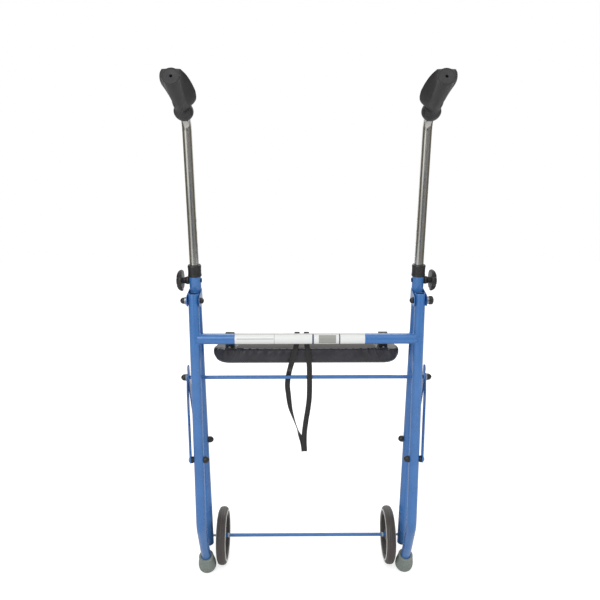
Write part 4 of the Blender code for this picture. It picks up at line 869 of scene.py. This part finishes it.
def crossbar(name, point, lean, body, node):
    """Tube between two legs, its ends coped to the legs' round and run into their walls, with weld beads."""
    path = np.array([at(-LEG_X, point), at(LEG_X, point)])
    shares = np.array([0.0, 0.3, 0.55, 0.72, 0.86, 0.95, 1.0])
    radius = BAR_R * np.concatenate([shares, shares[::-1]])
    tube = swept(path, np.repeat([0, 2 * LEG_X], len(shares)), radius[:, None, None] * circle(48)[None],
                 side=(0.0, 1.0, 0.0))
    cope = np.sqrt(np.maximum(LEG_R ** 2 - (tube[..., 1] - point[0]) ** 2, 0)) - WELD_DEPTH
    tube[..., 0] -= np.sign(tube[..., 0]) * cope
    bar = patch(tube)
    beads = [weld_bead(side, point, lean) for side, _ in SIDES]
    piece(name, [bar] + beads, "steel", body, [node])


def bar_label():
    """Thin label that wraps two thirds of the rear crossbar's round, facing the user."""
    steps = 40
    x = np.linspace(LABEL_START, LABEL_START + LABEL_LENGTH, steps)
    angle = np.radians(np.linspace(60, 300, steps))
    rows = []
    for radius in (BAR_R + 0.00012, BAR_R + 0.00002):
        y = REAR_BAR[0] + radius * np.cos(angle)
        z = REAR_BAR[1] + radius * np.sin(angle)
        rows.append(np.stack([np.broadcast_to(k, (steps, steps)) for k in (x[:, None], y, z)], -1))
    shell = np.concatenate([rows[0], rows[1][:, ::-1]], axis=1)
    made = patch(shell, caps=(True, True), size=(0.092, LABEL_LENGTH))
    piece("bar_label", [made], "label", "rear_frame")


def link(name, side, start, inner_x, tail, body, node):
    """Flat bar with round ends, from its leg bolt past the knuckle. It is straight where the two links
    overlap and then slants in towards the leg: its sideways place falls evenly, by the joggle at the bolt."""
    reach = KNUCKLE - start
    length = float(np.linalg.norm(reach))
    half = LINK_WIDTH / 2
    arc = np.linspace(0, math.pi, 17)
    run = np.linspace(0, length + tail, 48)[1:-1]
    low = np.stack([half * np.cos(math.pi + arc), half * np.sin(math.pi + arc)], -1)
    high = np.stack([half * np.cos(arc), length + tail + half * np.sin(arc)], -1)
    right = np.stack([np.full(len(run), half), run], -1)
    outline = np.vstack([low, right, high, right[::-1] * (-1, 1)])
    flat, faces, uv = plate(outline, 0, LINK_THICKNESS, 0.0005, (0, 0, 0), np.eye(3))
    straight = LINK_TAIL + half + 0.002
    share = np.clip((length - straight - flat[:, 1]) / (length - straight), 0, 1.05)
    x = side * (inner_x + flat[:, 2] - LINK_JOGGLE * share)
    axes = leaned_axes(math.atan2(-reach[0], reach[1]))
    points = at(0, start) + flat[:, :1] * axes[0] + flat[:, 1:2] * axes[1] + x[:, None] * axes[2]
    piece(name, [(points, faces, uv)], "steel", body, [node])


def link_bolt(name, side, point, head_face, body, node):
    """Bolt through leg and link: rounded cap inside the leg, low plated head outside the link."""
    inner = LEG_X - LEG_R - GAP
    cap = dome(0.0072, -inner, CAP_LENGTH, 0.35, 1.05)
    head = dome(0.0055, head_face, 0.0030, 0.2)
    shank = [(0, inner), (BOLT_R, inner), (BOLT_R, head_face), (0, head_face)]
    piece(name, [outward(-side, point, cap)], "black", body, [node])
    parts = [outward(side, point, head), outward(side, point, shank, 20)]
    piece(f"{name}_head", parts, "zinc", body)


def link_spacer(name, side, point, far, body, node):
    """Moulded spacer round a link bolt, a little fuller in its middle."""
    near = LEG_X + LEG_R + GAP
    end = far - GAP
    profile = eased([(0.0033, near), (0.0062, near), (0.0070, near + 0.0008), (0.0076, (near + end) / 2),
                     (0.0074, end - 0.0010), (0.0066, end), (0.0033, end)], 0.0004, closed=True)
    piece(name, [outward(side, point, profile, closed=True)], "black", body, [node])


def knuckle(side, word):
    """Pale washer and pointed cap outside the knuckle, on the pin that the two links share."""
    seat = LINK_OUT_X + LINK_THICKNESS + GAP
    top = seat + 0.0014
    washer = eased([(0.0031, seat), (0.0084, seat), (0.0084, top), (0.0031, top)], 0.0004, closed=True)
    made = outward(side, KNUCKLE, washer, closed=True)
    piece(f"knuckle_washer_{word}", [made], "nylon", "rear_links")
    cap = dome(0.0072, top, CAP_LENGTH, 0.3, 1.3)
    pin = [(0, LINK_OUT_X), (BOLT_R, LINK_OUT_X), (BOLT_R, top), (0, top)]
    parts = [outward(side, KNUCKLE, p) for p in (cap, pin)]
    piece(f"knuckle_dome_{word}", parts, "black", "rear_links", [f"knuckle_cap_{word}"])


def cross_rods():
    """Link cross rod at the knuckles, and axle rod with thicker ends that take the axle bolts."""
    end = LINK_IN_X + LINK_THICKNESS
    rod = eased([(0, -end), (ROD_R, -end), (ROD_R, end), (0, end)], 0.0006)
    piece("cross_rod", [outward(1, KNUCKLE, rod)], "steel", "front_links", ["link_cross_rod"])
    end = WHEEL_X - AXLE_ROD_END
    bore = 0.0033
    sleeve = 0.0053
    floor = end - 0.0213
    half = [(0, floor), (bore, floor), (bore, end), (sleeve, end), (sleeve, end - 0.0052),
            (ROD_R, end - 0.0070)]
    whole = half + [(r, -x) for r, x in reversed(half)]
    rod = outward(1, AXLE, eased(whole, 0.0006))
    piece("wheel_rod", [rod], "steel", "front_frame", ["axle_rod"])


def axle_bolt(side, word):
    """Dark bolt through leg and wheel, with a low domed head outside the leg."""
    seat = LEG_X + LEG_R + GAP
    tip = WHEEL_X - AXLE_BOLT_REACH - GAP
    shank = eased([(0, tip), (BOLT_R, tip), (BOLT_R, seat), (0, seat)], 0.0004)
    head = outward(side, AXLE, dome(0.0065, seat, 0.005, 0.3))
    piece(f"wheel_bolt_{word}", [head], "black", "front_frame", [f"axle_bolt_{word}"])
    piece(f"wheel_bolt_shank_{word}", [outward(side, AXLE, shank, 24)], "zinc", "front_frame")


def wheel(side, word):
    """Tyre with grooves, rim with five arms on a hub, and a pale trim ring on each face of the rim."""
    body = f"wheel_{word}"

    def both(half):
        whole = list(half) + [(r, -x) for r, x in reversed(half)]
        return [(r, WHEEL_X + x) for r, x in whole]

    tread = [(0.0528, 0.0088), (0.0540, 0.0096), (0.0552, 0.0103), (0.0575, 0.0106), (0.0598, 0.0103),
             (0.0610, 0.0096), (0.0614, 0.0094), (0.0628, 0.0092), (0.0650, 0.0076), (0.0663, 0.0052),
             (0.0667, 0.0034), (0.0660, 0.0030), (0.0660, 0.0024), (0.0669, 0.0020), (WHEEL_RADIUS, 0.0)]
    whole = tread + [(r, -x) for r, x in reversed(tread[:-1])]
    profile = eased([(r, WHEEL_X + x) for r, x in whole], 0.0005, 3, closed=True)
    piece(f"wheel_tyre_{word}", [outward(side, AXLE, profile, 128, closed=True)], "tyre", body,
          [f"tyre_{word}"])

    hoop = eased(both([(0.0468, 0.0030), (0.0465, 0.0088), (0.0478, 0.0095), (0.0518, 0.0095),
                       (0.0525, 0.0088)]), 0.0006, 3, closed=True)
    hub = [(0.0051, -0.0060), (0.0122, -0.0060), (0.0130, -0.0054), (0.0140, -0.0032), (0.0140, 0.0032),
           (0.0130, 0.0142), (0.0122, 0.0150), (0.0051, 0.0150)]
    hub = eased([(r, WHEEL_X + x) for r, x in hub], 0.0006, 3, closed=True)
    parts = [outward(side, AXLE, hoop, 128, closed=True), outward(side, AXLE, hub, 64, closed=True)]
    flat = squared(circle(28), 0.5)
    run = np.linspace(0.0125, 0.0475, 12)
    width = smooth_curve(run, [0.0125, 0.020, 0.032, 0.042, 0.0475], [0.0080, 0.0068, 0.0058, 0.0072, 0.0095])
    for arm in range(WHEEL_ARMS):
        angle = 2 * math.pi * (arm + 0.5) / WHEEL_ARMS
        way = np.array([0, math.cos(angle), math.sin(angle)])
        path = np.array([at(side * WHEEL_X, AXLE), at(side * WHEEL_X, AXLE) + way])
        section = np.stack([width[:, None] * flat[:, 0], np.broadcast_to(0.0030 * flat[:, 1], (12, 28))], -1)
        parts.append(patch(swept(path, run, section, side=np.cross(way, (1.0, 0.0, 0.0))), caps=(True, True)))
    piece(f"wheel_rim_{word}", parts, "rim", body, [f"rim_{word}"])

    rings = []
    for face in (1, -1):
        low = WHEEL_X + face * 0.0098
        high = WHEEL_X + face * 0.0112
        band = eased([(0.0551, low), (0.0554, high), (0.0588, high), (0.0592, low)], 0.0004, 3, closed=True)
        rings.append(outward(side, AXLE, band, 128, closed=True))
    piece(f"trim_ring_{word}", rings, "ring", body)


def rounded_loop(half, corner, count):
    """Rounded rectangle as points at even angles of its perimeter, with their outward normals."""
    straight = 2 * (half - corner)
    quarter = corner * math.pi / 2
    total = 2 * (straight[0] + straight[1]) + 4 * quarter
    run = np.arange(count) / count * total
    points = np.zeros((count, 2))
    normals = np.zeros((count, 2))
    starts = [(-(half[0] - corner), -half[1]), (half[0], -(half[1] - corner)), (half[0] - corner, half[1]),
              (-half[0], half[1] - corner)]
    begin = 0.0
    for k, start in enumerate(starts):
        angle = math.pi / 2 * k
        way = np.array([math.cos(angle), math.sin(angle)])
        out = np.array([math.sin(angle), -math.cos(angle)])
        length = straight[k % 2]
        here = (run >= begin) & (run < begin + length)
        points[here] = np.array(start) + way * (run[here] - begin)[:, None]
        normals[here] = out
        bend = (run >= begin + length) & (run < begin + length + quarter)
        swing = angle - math.pi / 2 + (run[bend] - begin - length) / corner
        centre = np.array(start) + way * length - out * corner
        normals[bend] = np.stack([np.cos(swing), np.sin(swing)], -1)
        points[bend] = centre + normals[bend] * corner
        begin += length + quarter
    return points, normals, run / total


def seat_world(points):
    """Seat points (x, forward of the bar, up from it in use), turned by the seat's slope about the bar."""
    c, s = math.cos(SEAT_SLOPE), math.sin(SEAT_SLOPE)
    x, y, z = points[..., 0], points[..., 1], points[..., 2]
    return np.stack([x, FRONT_BAR[0] + y * c + z * s, FRONT_BAR[1] - y * s + z * c], -1)


def finer(grid, times):
    """Closed rows of points with this many times the columns: cubic pieces through each point."""
    t = (np.arange(times) / times)[:, None]
    a, b, c, d = [np.roll(grid, k, axis=1)[:, :, None] for k in (1, 0, -1, -2)]
    curve = b + 0.5 * t * (c - a + t * (2 * a - 5 * b + 4 * c - d + t * (3 * (b - c) + d - a)))
    return curve.reshape(len(grid), -1, 3)


def filled_with_foam(grid, pinned):
    """The cover's grid after a short cloth simulation, meant to fill it like foam by pressure, with the stapled
    first rows pinned. So far it has no effect: the printed movement, in metres, is only rounding, and the
    cover's crown and sides come from the profile in seat_cover alone."""
    columns = grid.shape[1]
    points, faces, _ = patch(grid, caps=(True, True))
    mesh = bpy.data.meshes.new("foam_fill")
    mesh.from_pydata(points.tolist(), [], faces)
    cloth = bpy.data.objects.new("foam_fill", mesh)
    bpy.context.scene.collection.objects.link(cloth)
    stapled = cloth.vertex_groups.new(name="stapled")
    stapled.add(list(range(pinned * columns)), 1.0, "REPLACE")
    settings = cloth.modifiers.new("Cloth", "CLOTH").settings
    settings.quality = 8
    settings.mass = 0.3
    settings.tension_stiffness = settings.compression_stiffness = 20
    settings.bending_stiffness = 1.0
    settings.use_pressure = True
    settings.uniform_pressure_force = 4.0
    settings.vertex_group_mass = "stapled"
    settings.effector_weights.gravity = 0.0
    for frame_number in range(1, FOAM_FRAMES + 1):
        bpy.context.scene.frame_set(frame_number)
    depsgraph = bpy.context.evaluated_depsgraph_get()
    done = cloth.evaluated_get(depsgraph).data
    moved = np.empty(len(done.vertices) * 3, np.float32)
    done.vertices.foreach_get("co", moved)
    move = moved.reshape(-1, 3) - points
    length = np.linalg.norm(move, axis=1, keepdims=True)
    print("foam fill moved", float(length.mean()), float(length.max()))
    bpy.data.objects.remove(cloth)
    bpy.context.scene.frame_set(1)
    return (points + move * np.minimum(1, FOAM_REACH / np.maximum(length, 1e-9))).reshape(grid.shape)


def seat_cover():
    """Vinyl over foam. Rows go from the cover's stapled edge on the board's underside out over the edge, up
    the side and in across the crown, each an inset of the seat's outline. Pleats are added, deepest at the
    corners, where they lean away from the seat's middle."""
    columns, times = 192, 6
    outline, normal, _ = rounded_loop(SEAT_HALF, SEAT_CORNER, columns)
    profile = [(0.0080, -0.0002, 0.9), (0.0060, -0.0001, 1.0), (0.0042, -0.0002, 1.0), (0.0026, 0.0004, 1.0),
               (0.0012, 0.0013, 1.0), (0.0006, 0.0030, 0.95), (0.0004, 0.0060, 0.85), (0.0003, 0.0090, 0.75),
               (0.0004, 0.0121, 0.62), (0.0008, 0.0152, 0.48), (0.0016, 0.0185, 0.34), (0.0030, 0.0219, 0.20),
               (0.0054, 0.0250, 0.08), (0.0088, 0.0275, 0.0), (0.0135, 0.0296, 0.0), (0.0200, 0.0311, 0.0),
               (0.0285, 0.0320, 0.0), (0.0335, 0.0323, 0.0)]
    hem, _, _ = rounded_loop(FELT_HALF, FELT_CORNER, columns)
    start = outline - normal * 0.0080
    rows = [np.column_stack([hem + (start - hem) * t, np.full(columns, -SEAT_FACE + 0.0002 + 0.0008 * t)])
            for t in (0.0, 0.03, 0.2, 0.4, 0.6, 0.8)]
    rows += [np.column_stack([outline - normal * inset, np.full(columns, -SEAT_FACE - depth)])
             for inset, depth, _ in profile]
    rim = outline - normal * CROWN_INSET
    for shrink in np.linspace(0.86, 0.06, 9):
        height = -SEAT_FACE - CROWN_HEIGHT + 0.0005 * shrink ** 2
        rows.append(np.column_stack([rim * shrink, np.full(columns, height)]))
    grid = filled_with_foam(np.array(rows), 8)

    grid = finer(grid, times)
    outline, normal, share = rounded_loop(SEAT_HALF, SEAT_CORNER, columns * times)
    run = share * PLEAT_RUN
    core = np.maximum(SEAT_HALF - SEAT_CORNER - np.abs(outline), 0)
    near = np.exp(-(np.hypot(core[:, 0], core[:, 1]) / 0.074) ** 2)
    fold = np.zeros(len(grid))
    fold[:6] = (0.0, 0.3, 0.7, 0.8, 0.85, 0.9)
    fold[6:6 + len(profile)] = [f for _, _, f in profile]
    depth = np.clip(-SEAT_FACE - grid[..., 2], 0, None)
    lean = depth * PLEAT_LEAN * np.sign(outline[:, 0] * outline[:, 1])
    spread = run[None] + lean
    broad = np.sin(spread * 2 * math.pi / PLEAT_STEP + 1.3 * np.sin(spread * 37))
    wave = broad + 0.35 * np.sin(spread * 2 * math.pi / CREASE_STEP)
    depth_share = 0.12 + 0.88 * near
    ridge = squared(wave, 0.75) * depth_share * (0.75 + 0.25 * np.sin(run * 61 + 0.6))
    face_on = np.zeros(len(grid))
    face_on[:16] = np.clip(np.linspace(1.6, -0.5, 16), 0, 1)
    inside = np.maximum(np.abs(np.abs(grid[..., 0]) - CLIP_X) / 0.0125,
                        np.abs(grid[..., 1] + SEAT_MIDDLE) / 0.021)
    clear = np.clip((inside - 1) / 0.3, 0, 1)
    flat_share = (fold * face_on)[:, None]
    raised = 0.55 * ridge + 0.75 * depth_share
    grid[..., 2] += (0.0004 + 0.0016 * raised) * flat_share * clear
    grid[..., 2] -= (1 - clear) * face_on[:, None] * np.maximum(grid[..., 2] + SEAT_FACE - 0.0003, 0)
    room = 0.0003 + (grid[..., 1] - REST_LINE) ** 2 / (2.1 * BAR_R)
    grid[..., 2] = np.minimum(grid[..., 2], -SEAT_FACE + room)
    bulge = np.maximum(0.8 * ridge + 0.25 * near, -0.2)
    grid[..., :2] += PLEAT_DEPTH * (fold * (1 - face_on))[:, None, None] * bulge[..., None] * normal[None]
    near_end = np.clip((np.abs(grid[..., 0]) - 0.155) / 0.03, 0, 1)
    away = np.clip((grid[..., 1] + SEAT_HALF[1]) / 0.05, 0, 1) * near_end
    grid[..., 0] += np.sign(grid[..., 0]) * (0.0040 * away - 0.0028 * near_end)
    hem, _, _ = rounded_loop(FELT_HALF, FELT_CORNER, columns * times)
    back = [np.column_stack([hem * s, np.full(len(hem), -SEAT_FACE - 0.0040)]) for s in (0.0, 0.5, 1.0)]
    pole = np.repeat(grid[-1].mean(0)[None, None], len(outline), axis=1)
    grid = np.concatenate([np.array(back), grid, pole])
    grid[..., 1] += SEAT_MIDDLE
    cover = patch(seat_world(grid))
    made = piece("seat_vinyl", [cover], "vinyl", "seat", ["seat_cushion"], sharp=60)


def dust_cover():
    """Felt stapled under the board, with staples at even steps round it, but none where the seat in use rests
    on the rear crossbar."""
    outline, _, _ = rounded_loop(FELT_HALF, FELT_CORNER, 240)
    rows = [(0.0, 0.0), (1.004, 0.0), (1.004, -0.00025), (0.99, -0.0003), (0.5, -0.0003), (0.0, -0.0003)]
    grid = np.array([np.column_stack([outline * s, np.full(240, -SEAT_FACE - d)]) for s, d in rows])
    grid[..., 1] += SEAT_MIDDLE
    piece("dust_cover", [patch(seat_world(grid))], "felt", "seat")
    spots, normal, _ = rounded_loop(FELT_HALF + 0.0022, FELT_CORNER, 56)
    parts = []
    for spot, out in zip(spots, normal):
        if abs(spot[1] - REST_LINE) < 0.014:
            continue
        way = np.array([-out[1], out[0]])
        ends = np.array([(*(spot + way * d), -SEAT_FACE + 0.0021) for d in (-STAPLE_HALF, STAPLE_HALF)])
        ends[:, 1] += SEAT_MIDDLE
        wire = swept(seat_world(ends), np.array([0, 2 * STAPLE_HALF]), 0.0008 * circle(8), side=(0, 0, 1))
        parts.append(patch(wire, caps=(True, True)))
    piece("cover_staples", parts, "zinc", "seat")


def seat_clip(side, word):
    """Moulded clip: an open ring that snaps round the front crossbar, on a neck and a screwed foot."""
    ring_in = BAR_R + GAP
    ring_out = ring_in + CLIP_WALL
    base_low = -SEAT_FACE + GAP
    base_high = base_low + CLIP_FOOT
    start, sweep = math.radians(75), math.radians(290)
    angles = start + sweep * np.linspace(0, 1, 61)
    ring = np.stack([np.cos(angles), np.sin(angles)], -1)
    neck = 0.008
    keep = ~((np.abs(ring_out * ring[:, 0]) < neck) & (ring[:, 1] < 0))
    before = ring[keep & (angles < 1.5 * math.pi)] * ring_out
    after = ring[keep & (angles > 1.5 * math.pi)] * ring_out
    foot = np.array([(-neck, base_high), (-CLIP_FOOT_HALF, base_high), (-CLIP_FOOT_HALF, base_low),
                     (CLIP_FOOT_HALF, base_low), (CLIP_FOOT_HALF, base_high), (neck, base_high)])
    outline = np.vstack([before, foot, after, ring[::-1] * ring_in])
    c, s = math.cos(SEAT_SLOPE), math.sin(SEAT_SLOPE)
    axes = np.array([[0, c, -s], [0, s, c], [1.0, 0, 0]])
    x = side * CLIP_X
    made = plate(outline, x - CLIP_HALF_WIDTH, x + CLIP_HALF_WIDTH, 0.0004, at(0, FRONT_BAR), axes)
    piece(f"bar_clip_{word}", [made], "black", "seat", [f"seat_clip_{word}"])


def strap_route():
    """Centre line of the pull strap: over the front crossbar, down past the cross rod, round and up again."""
    radius = BAR_R + GAP + STRAP_LIFT
    wrap = np.radians(np.arange(-50, 191, 24))
    over = FRONT_BAR + radius * np.stack([np.cos(wrap), np.sin(wrap)], -1)
    rod_back = KNUCKLE[0] + ROD_R + STRAP_CLEAR
    rod_front = KNUCKLE[0] - ROD_R - STRAP_CLEAR
    wall = FRONT_BAR[0] - 0.0338
    left = [(-0.0228, wall + 0.0105, 0.5672), (-0.0245, wall + 0.0040, 0.5600), (-0.0292, wall, 0.5420),
            (-0.0345, wall + 0.0010, 0.5250), (-0.0385, rod_back - 0.0010, 0.5020),
            (-0.0405, rod_back, 0.4900),
            (-0.0417, rod_back - 0.0005, 0.4740), (-0.0397, rod_back - 0.0010, 0.4523),
            (-0.0362, rod_back - 0.0020, 0.4238), (-0.0290, rod_back - 0.0035, 0.3977),
            (-0.0172, rod_back - 0.0055, 0.3640), (-0.0072, rod_back - 0.0068, 0.3370)]
    right = [(0.0010, wall + 0.0105, 0.5672), (0.0020, wall + 0.0040, 0.5600), (0.0040, wall, 0.5420),
             (0.0058, wall, 0.5250), (0.0064, rod_front - 0.0010, 0.4950), (0.0066, rod_front, 0.4777),
             (0.0062, rod_front, 0.4523), (0.0034, rod_front + 0.0004, 0.4238),
             (-0.0018, rod_front + 0.0012, 0.3880), (-0.0047, rod_front + 0.0028, 0.3560),
             (-0.0048, rod_front + 0.0036, 0.3320)]
    end = [(-0.0050, rod_back - 0.0072, 0.3230), (-0.0048, (rod_back + rod_front) / 2 - 0.0019, 0.3180),
           (-0.0046, rod_front + 0.0030, 0.3230)]
    return np.vstack([lifted(-0.0205, over), left, end, right[::-1], lifted(0.0, over[::-1])])


def pull_strap():
    """Flat webbing along its route, a band with rounded selvedges. Its width lies across the walker, but for
    one place on the left run where it turns on edge and back, by a bell curve of the distance."""
    knots = strap_route()
    run = np.concatenate([[0], np.cumsum(np.linalg.norm(np.diff(knots, axis=0), axis=1))])
    fine = np.linspace(0, run[-1], 760)
    path = np.stack([smooth_curve(fine, run, knots[:, k]) for k in range(3)], -1)
    half = STRAP_HALF_WIDTH + 0.0006 * np.exp(-((path[:, 2] - 0.325) / 0.012) ** 2)
    left_run = fine < run[-1] * 0.48
    reach = np.where(path[:, 2] > TWIST_Z, 0.056, 0.022)
    turn = np.radians(76) * left_run * np.exp(-((path[:, 2] - TWIST_Z) / reach) ** 2)
    flat = squared(circle(20), np.array([0.35, 0.7]))
    wide = half[:, None] * flat[:, 0]
    thick = STRAP_HALF_THICKNESS * flat[:, 1][None]
    c, s = np.cos(turn)[:, None], np.sin(turn)[:, None]
    section = np.stack([wide * c - thick * s, wide * s + thick * c], -1)
    made = patch(swept(path, fine, section), caps=(True, True), size=(0.025, float(run[-1])))
    strap = piece("strap_webbing", [made], "webbing", "front_frame", ["pull_strap"])
    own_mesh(strap)


def dress(names, look):
    """Gives carried-over CAD nodes their finish."""
    for name in names:
        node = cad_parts[name]
        node.data.materials.clear()
        node.data.materials.append(LOOKS[look])


def build_walker():
    """Makes every visible piece."""
    for side, word in SIDES:
        front_leg(side, word)
        hinge_socket(side, word)
        collar(side, word)
        clamp_knob(side, word)
        handle(side, word)
        rear_leg(side, word)
        axle_bolt(side, word)
        wheel(side, word)
        for end, point, inner_x, tail, leg_body in (
                ("front", FRONT_LINK, LINK_IN_X, LINK_TAIL, "front_frame"),
                ("rear", REAR_LINK, LINK_OUT_X, 0.0, "rear_frame")):
            link(f"flat_link_{end}_{word}", side, point, inner_x, tail, f"{end}_links", f"{end}_link_{word}")
            head = inner_x + LINK_THICKNESS + GAP - LINK_JOGGLE
            link_bolt(f"{end}_pivot_{word}", side, point, head, leg_body, f"{end}_link_bolt_{word}")
            far = inner_x - LINK_JOGGLE
            link_spacer(f"{end}_spacer_{word}", side, point, far, leg_body, f"{end}_link_spacer_{word}")
        knuckle(side, word)
        seat_clip(side, word)
        dress([f"clamp_screw_{word}", f"clamp_nut_{word}"], "bore")
        dress([f"seat_screw_{word}_back", f"seat_screw_{word}_front"], "zinc")
        dress([f"wheel_bush_{word}"], "nylon")
    crossbar("crossbar_front", FRONT_BAR, FRONT_LEAN, "front_frame", "front_crossbar")
    crossbar("crossbar_rear", REAR_BAR, -REAR_LEAN, "rear_frame", "rear_crossbar")
    bar_label()
    cross_rods()
    seat_cover()
    dust_cover()
    pull_strap()
    dress(["seat_board"], "board")


def stage_and_light():
    """Pale floor, white surroundings, soft lamps, cards that only gloss sees, and the camera."""
    mesh = bpy.data.meshes.new("floor")
    half = 4.0
    corners = [(-half, -half, 0), (half, -half, 0), (half, half, 0), (-half, half, 0)]
    mesh.from_pydata(corners, [], [(0, 1, 2, 3)])
    floor = bpy.data.objects.new("floor", mesh)
    bpy.context.scene.collection.objects.link(floor)
    look, tree, shader = new_look("pale_paper_sweep", Roughness=0.8)
    shader.inputs["Base Color"].default_value = linear("e4e4e4")
    ray = add_node(tree, "ShaderNodeLightPath")
    seen = ray.outputs["Is Camera Ray"]
    lift = add_node(tree, "ShaderNodeMath", {1: 0.62}, {0: seen}, operation="MULTIPLY")
    shader.inputs["Emission Color"].default_value = (1, 1, 1, 1)
    tree.links.new(lift.outputs[0], shader.inputs["Emission Strength"])
    mesh.materials.append(look)

    world = bpy.data.worlds.new("studio")
    world.use_nodes = True
    bpy.context.scene.world = world
    tree = world.node_tree
    tree.nodes.clear()
    ray = add_node(tree, "ShaderNodeLightPath")
    seen = ray.outputs["Is Camera Ray"]
    for other in ("Is Glossy Ray", "Is Transmission Ray"):
        inputs = {0: seen, 1: ray.outputs[other]}
        seen = add_node(tree, "ShaderNodeMath", links=inputs, operation="MAXIMUM").outputs[0]
    strength = add_node(tree, "ShaderNodeMapRange", {"To Min": 0.55, "To Max": 1.0}, {"Value": seen})
    back = add_node(tree, "ShaderNodeBackground", {"Color": (1, 1, 1, 1)}, {"Strength": strength.outputs[0]})
    add_node(tree, "ShaderNodeOutputWorld", links={"Surface": back.outputs[0]})

    for name, spot, energy, size in (("key", (-1.3, -2.4, 2.3), 34.0, 1.8),
                                     ("fill", (1.9, -1.9, 1.5), 16.0, 1.8),
                                     ("rim", (0.4, 2.4, 2.4), 16.0, 2.0)):
        lamp = bpy.data.lights.new(name, "AREA")
        lamp.energy = energy
        lamp.size = size
        lamp_object = bpy.data.objects.new(name, lamp)
        lamp_object.location = spot
        way = np.array([0, 0, 0.6]) - np.array(spot)
        flat = math.hypot(way[0], way[1])
        lamp_object.rotation_euler = (math.atan2(flat, -way[2]), 0, math.atan2(-way[0], way[1]))
        bpy.context.scene.collection.objects.link(lamp_object)

    for name, ends, heights, colour in (
            ("dark_blue_card", ((-0.20, -1.50), (0.20, -1.50)), (0.25, 0.72), "4d6480"),
            ("upper_grey_card", ((-0.20, -1.50), (0.20, -1.50)), (0.74, 1.60), "bfbdb8"),
            ("grey_card", ((0.20, -1.50), (1.25, -0.55)), (0.25, 1.60), "a09e9f"),
            ("left_grey_card", ((-0.20, -1.50), (-0.62, -1.36)), (0.25, 1.60), "b9b8b4"),
            ("right_brown_card", ((1.25, -0.55), (1.15, 1.10)), (0.40, 1.60), "7d796d"),
            ("left_brown_card", ((-1.15, 1.10), (-1.25, -0.75)), (0.40, 1.60), "7d796d")):
        look, _, shader = new_look(name, Roughness=0.9)
        shader.inputs["Base Color"].default_value = linear(colour)
        card = bpy.data.meshes.new(name)
        low, high = [[(*ends[i], z) for i in (0, 1)] for z in heights]
        card.from_pydata(low + high[::-1], [], [(0, 1, 2, 3)])
        card.materials.append(look)
        made = bpy.data.objects.new(name, card)
        made.visible_camera = made.visible_diffuse = made.visible_shadow = False
        bpy.context.scene.collection.objects.link(made)

    lens = bpy.data.cameras.new("camera")
    lens.lens = 36.0
    lens.sensor_width = 36.0
    lens.sensor_fit = "HORIZONTAL"
    camera = bpy.data.objects.new("camera", lens)
    camera.location = CAMERA_SPOT
    camera.rotation_euler = (math.pi / 2 - CAMERA_DIP, 0, CAMERA_TURN)
    bpy.context.scene.collection.objects.link(camera)
    bpy.context.scene.camera = camera
    bpy.context.scene.view_settings.view_transform = "Standard"


build_walker()
stage_and_light()
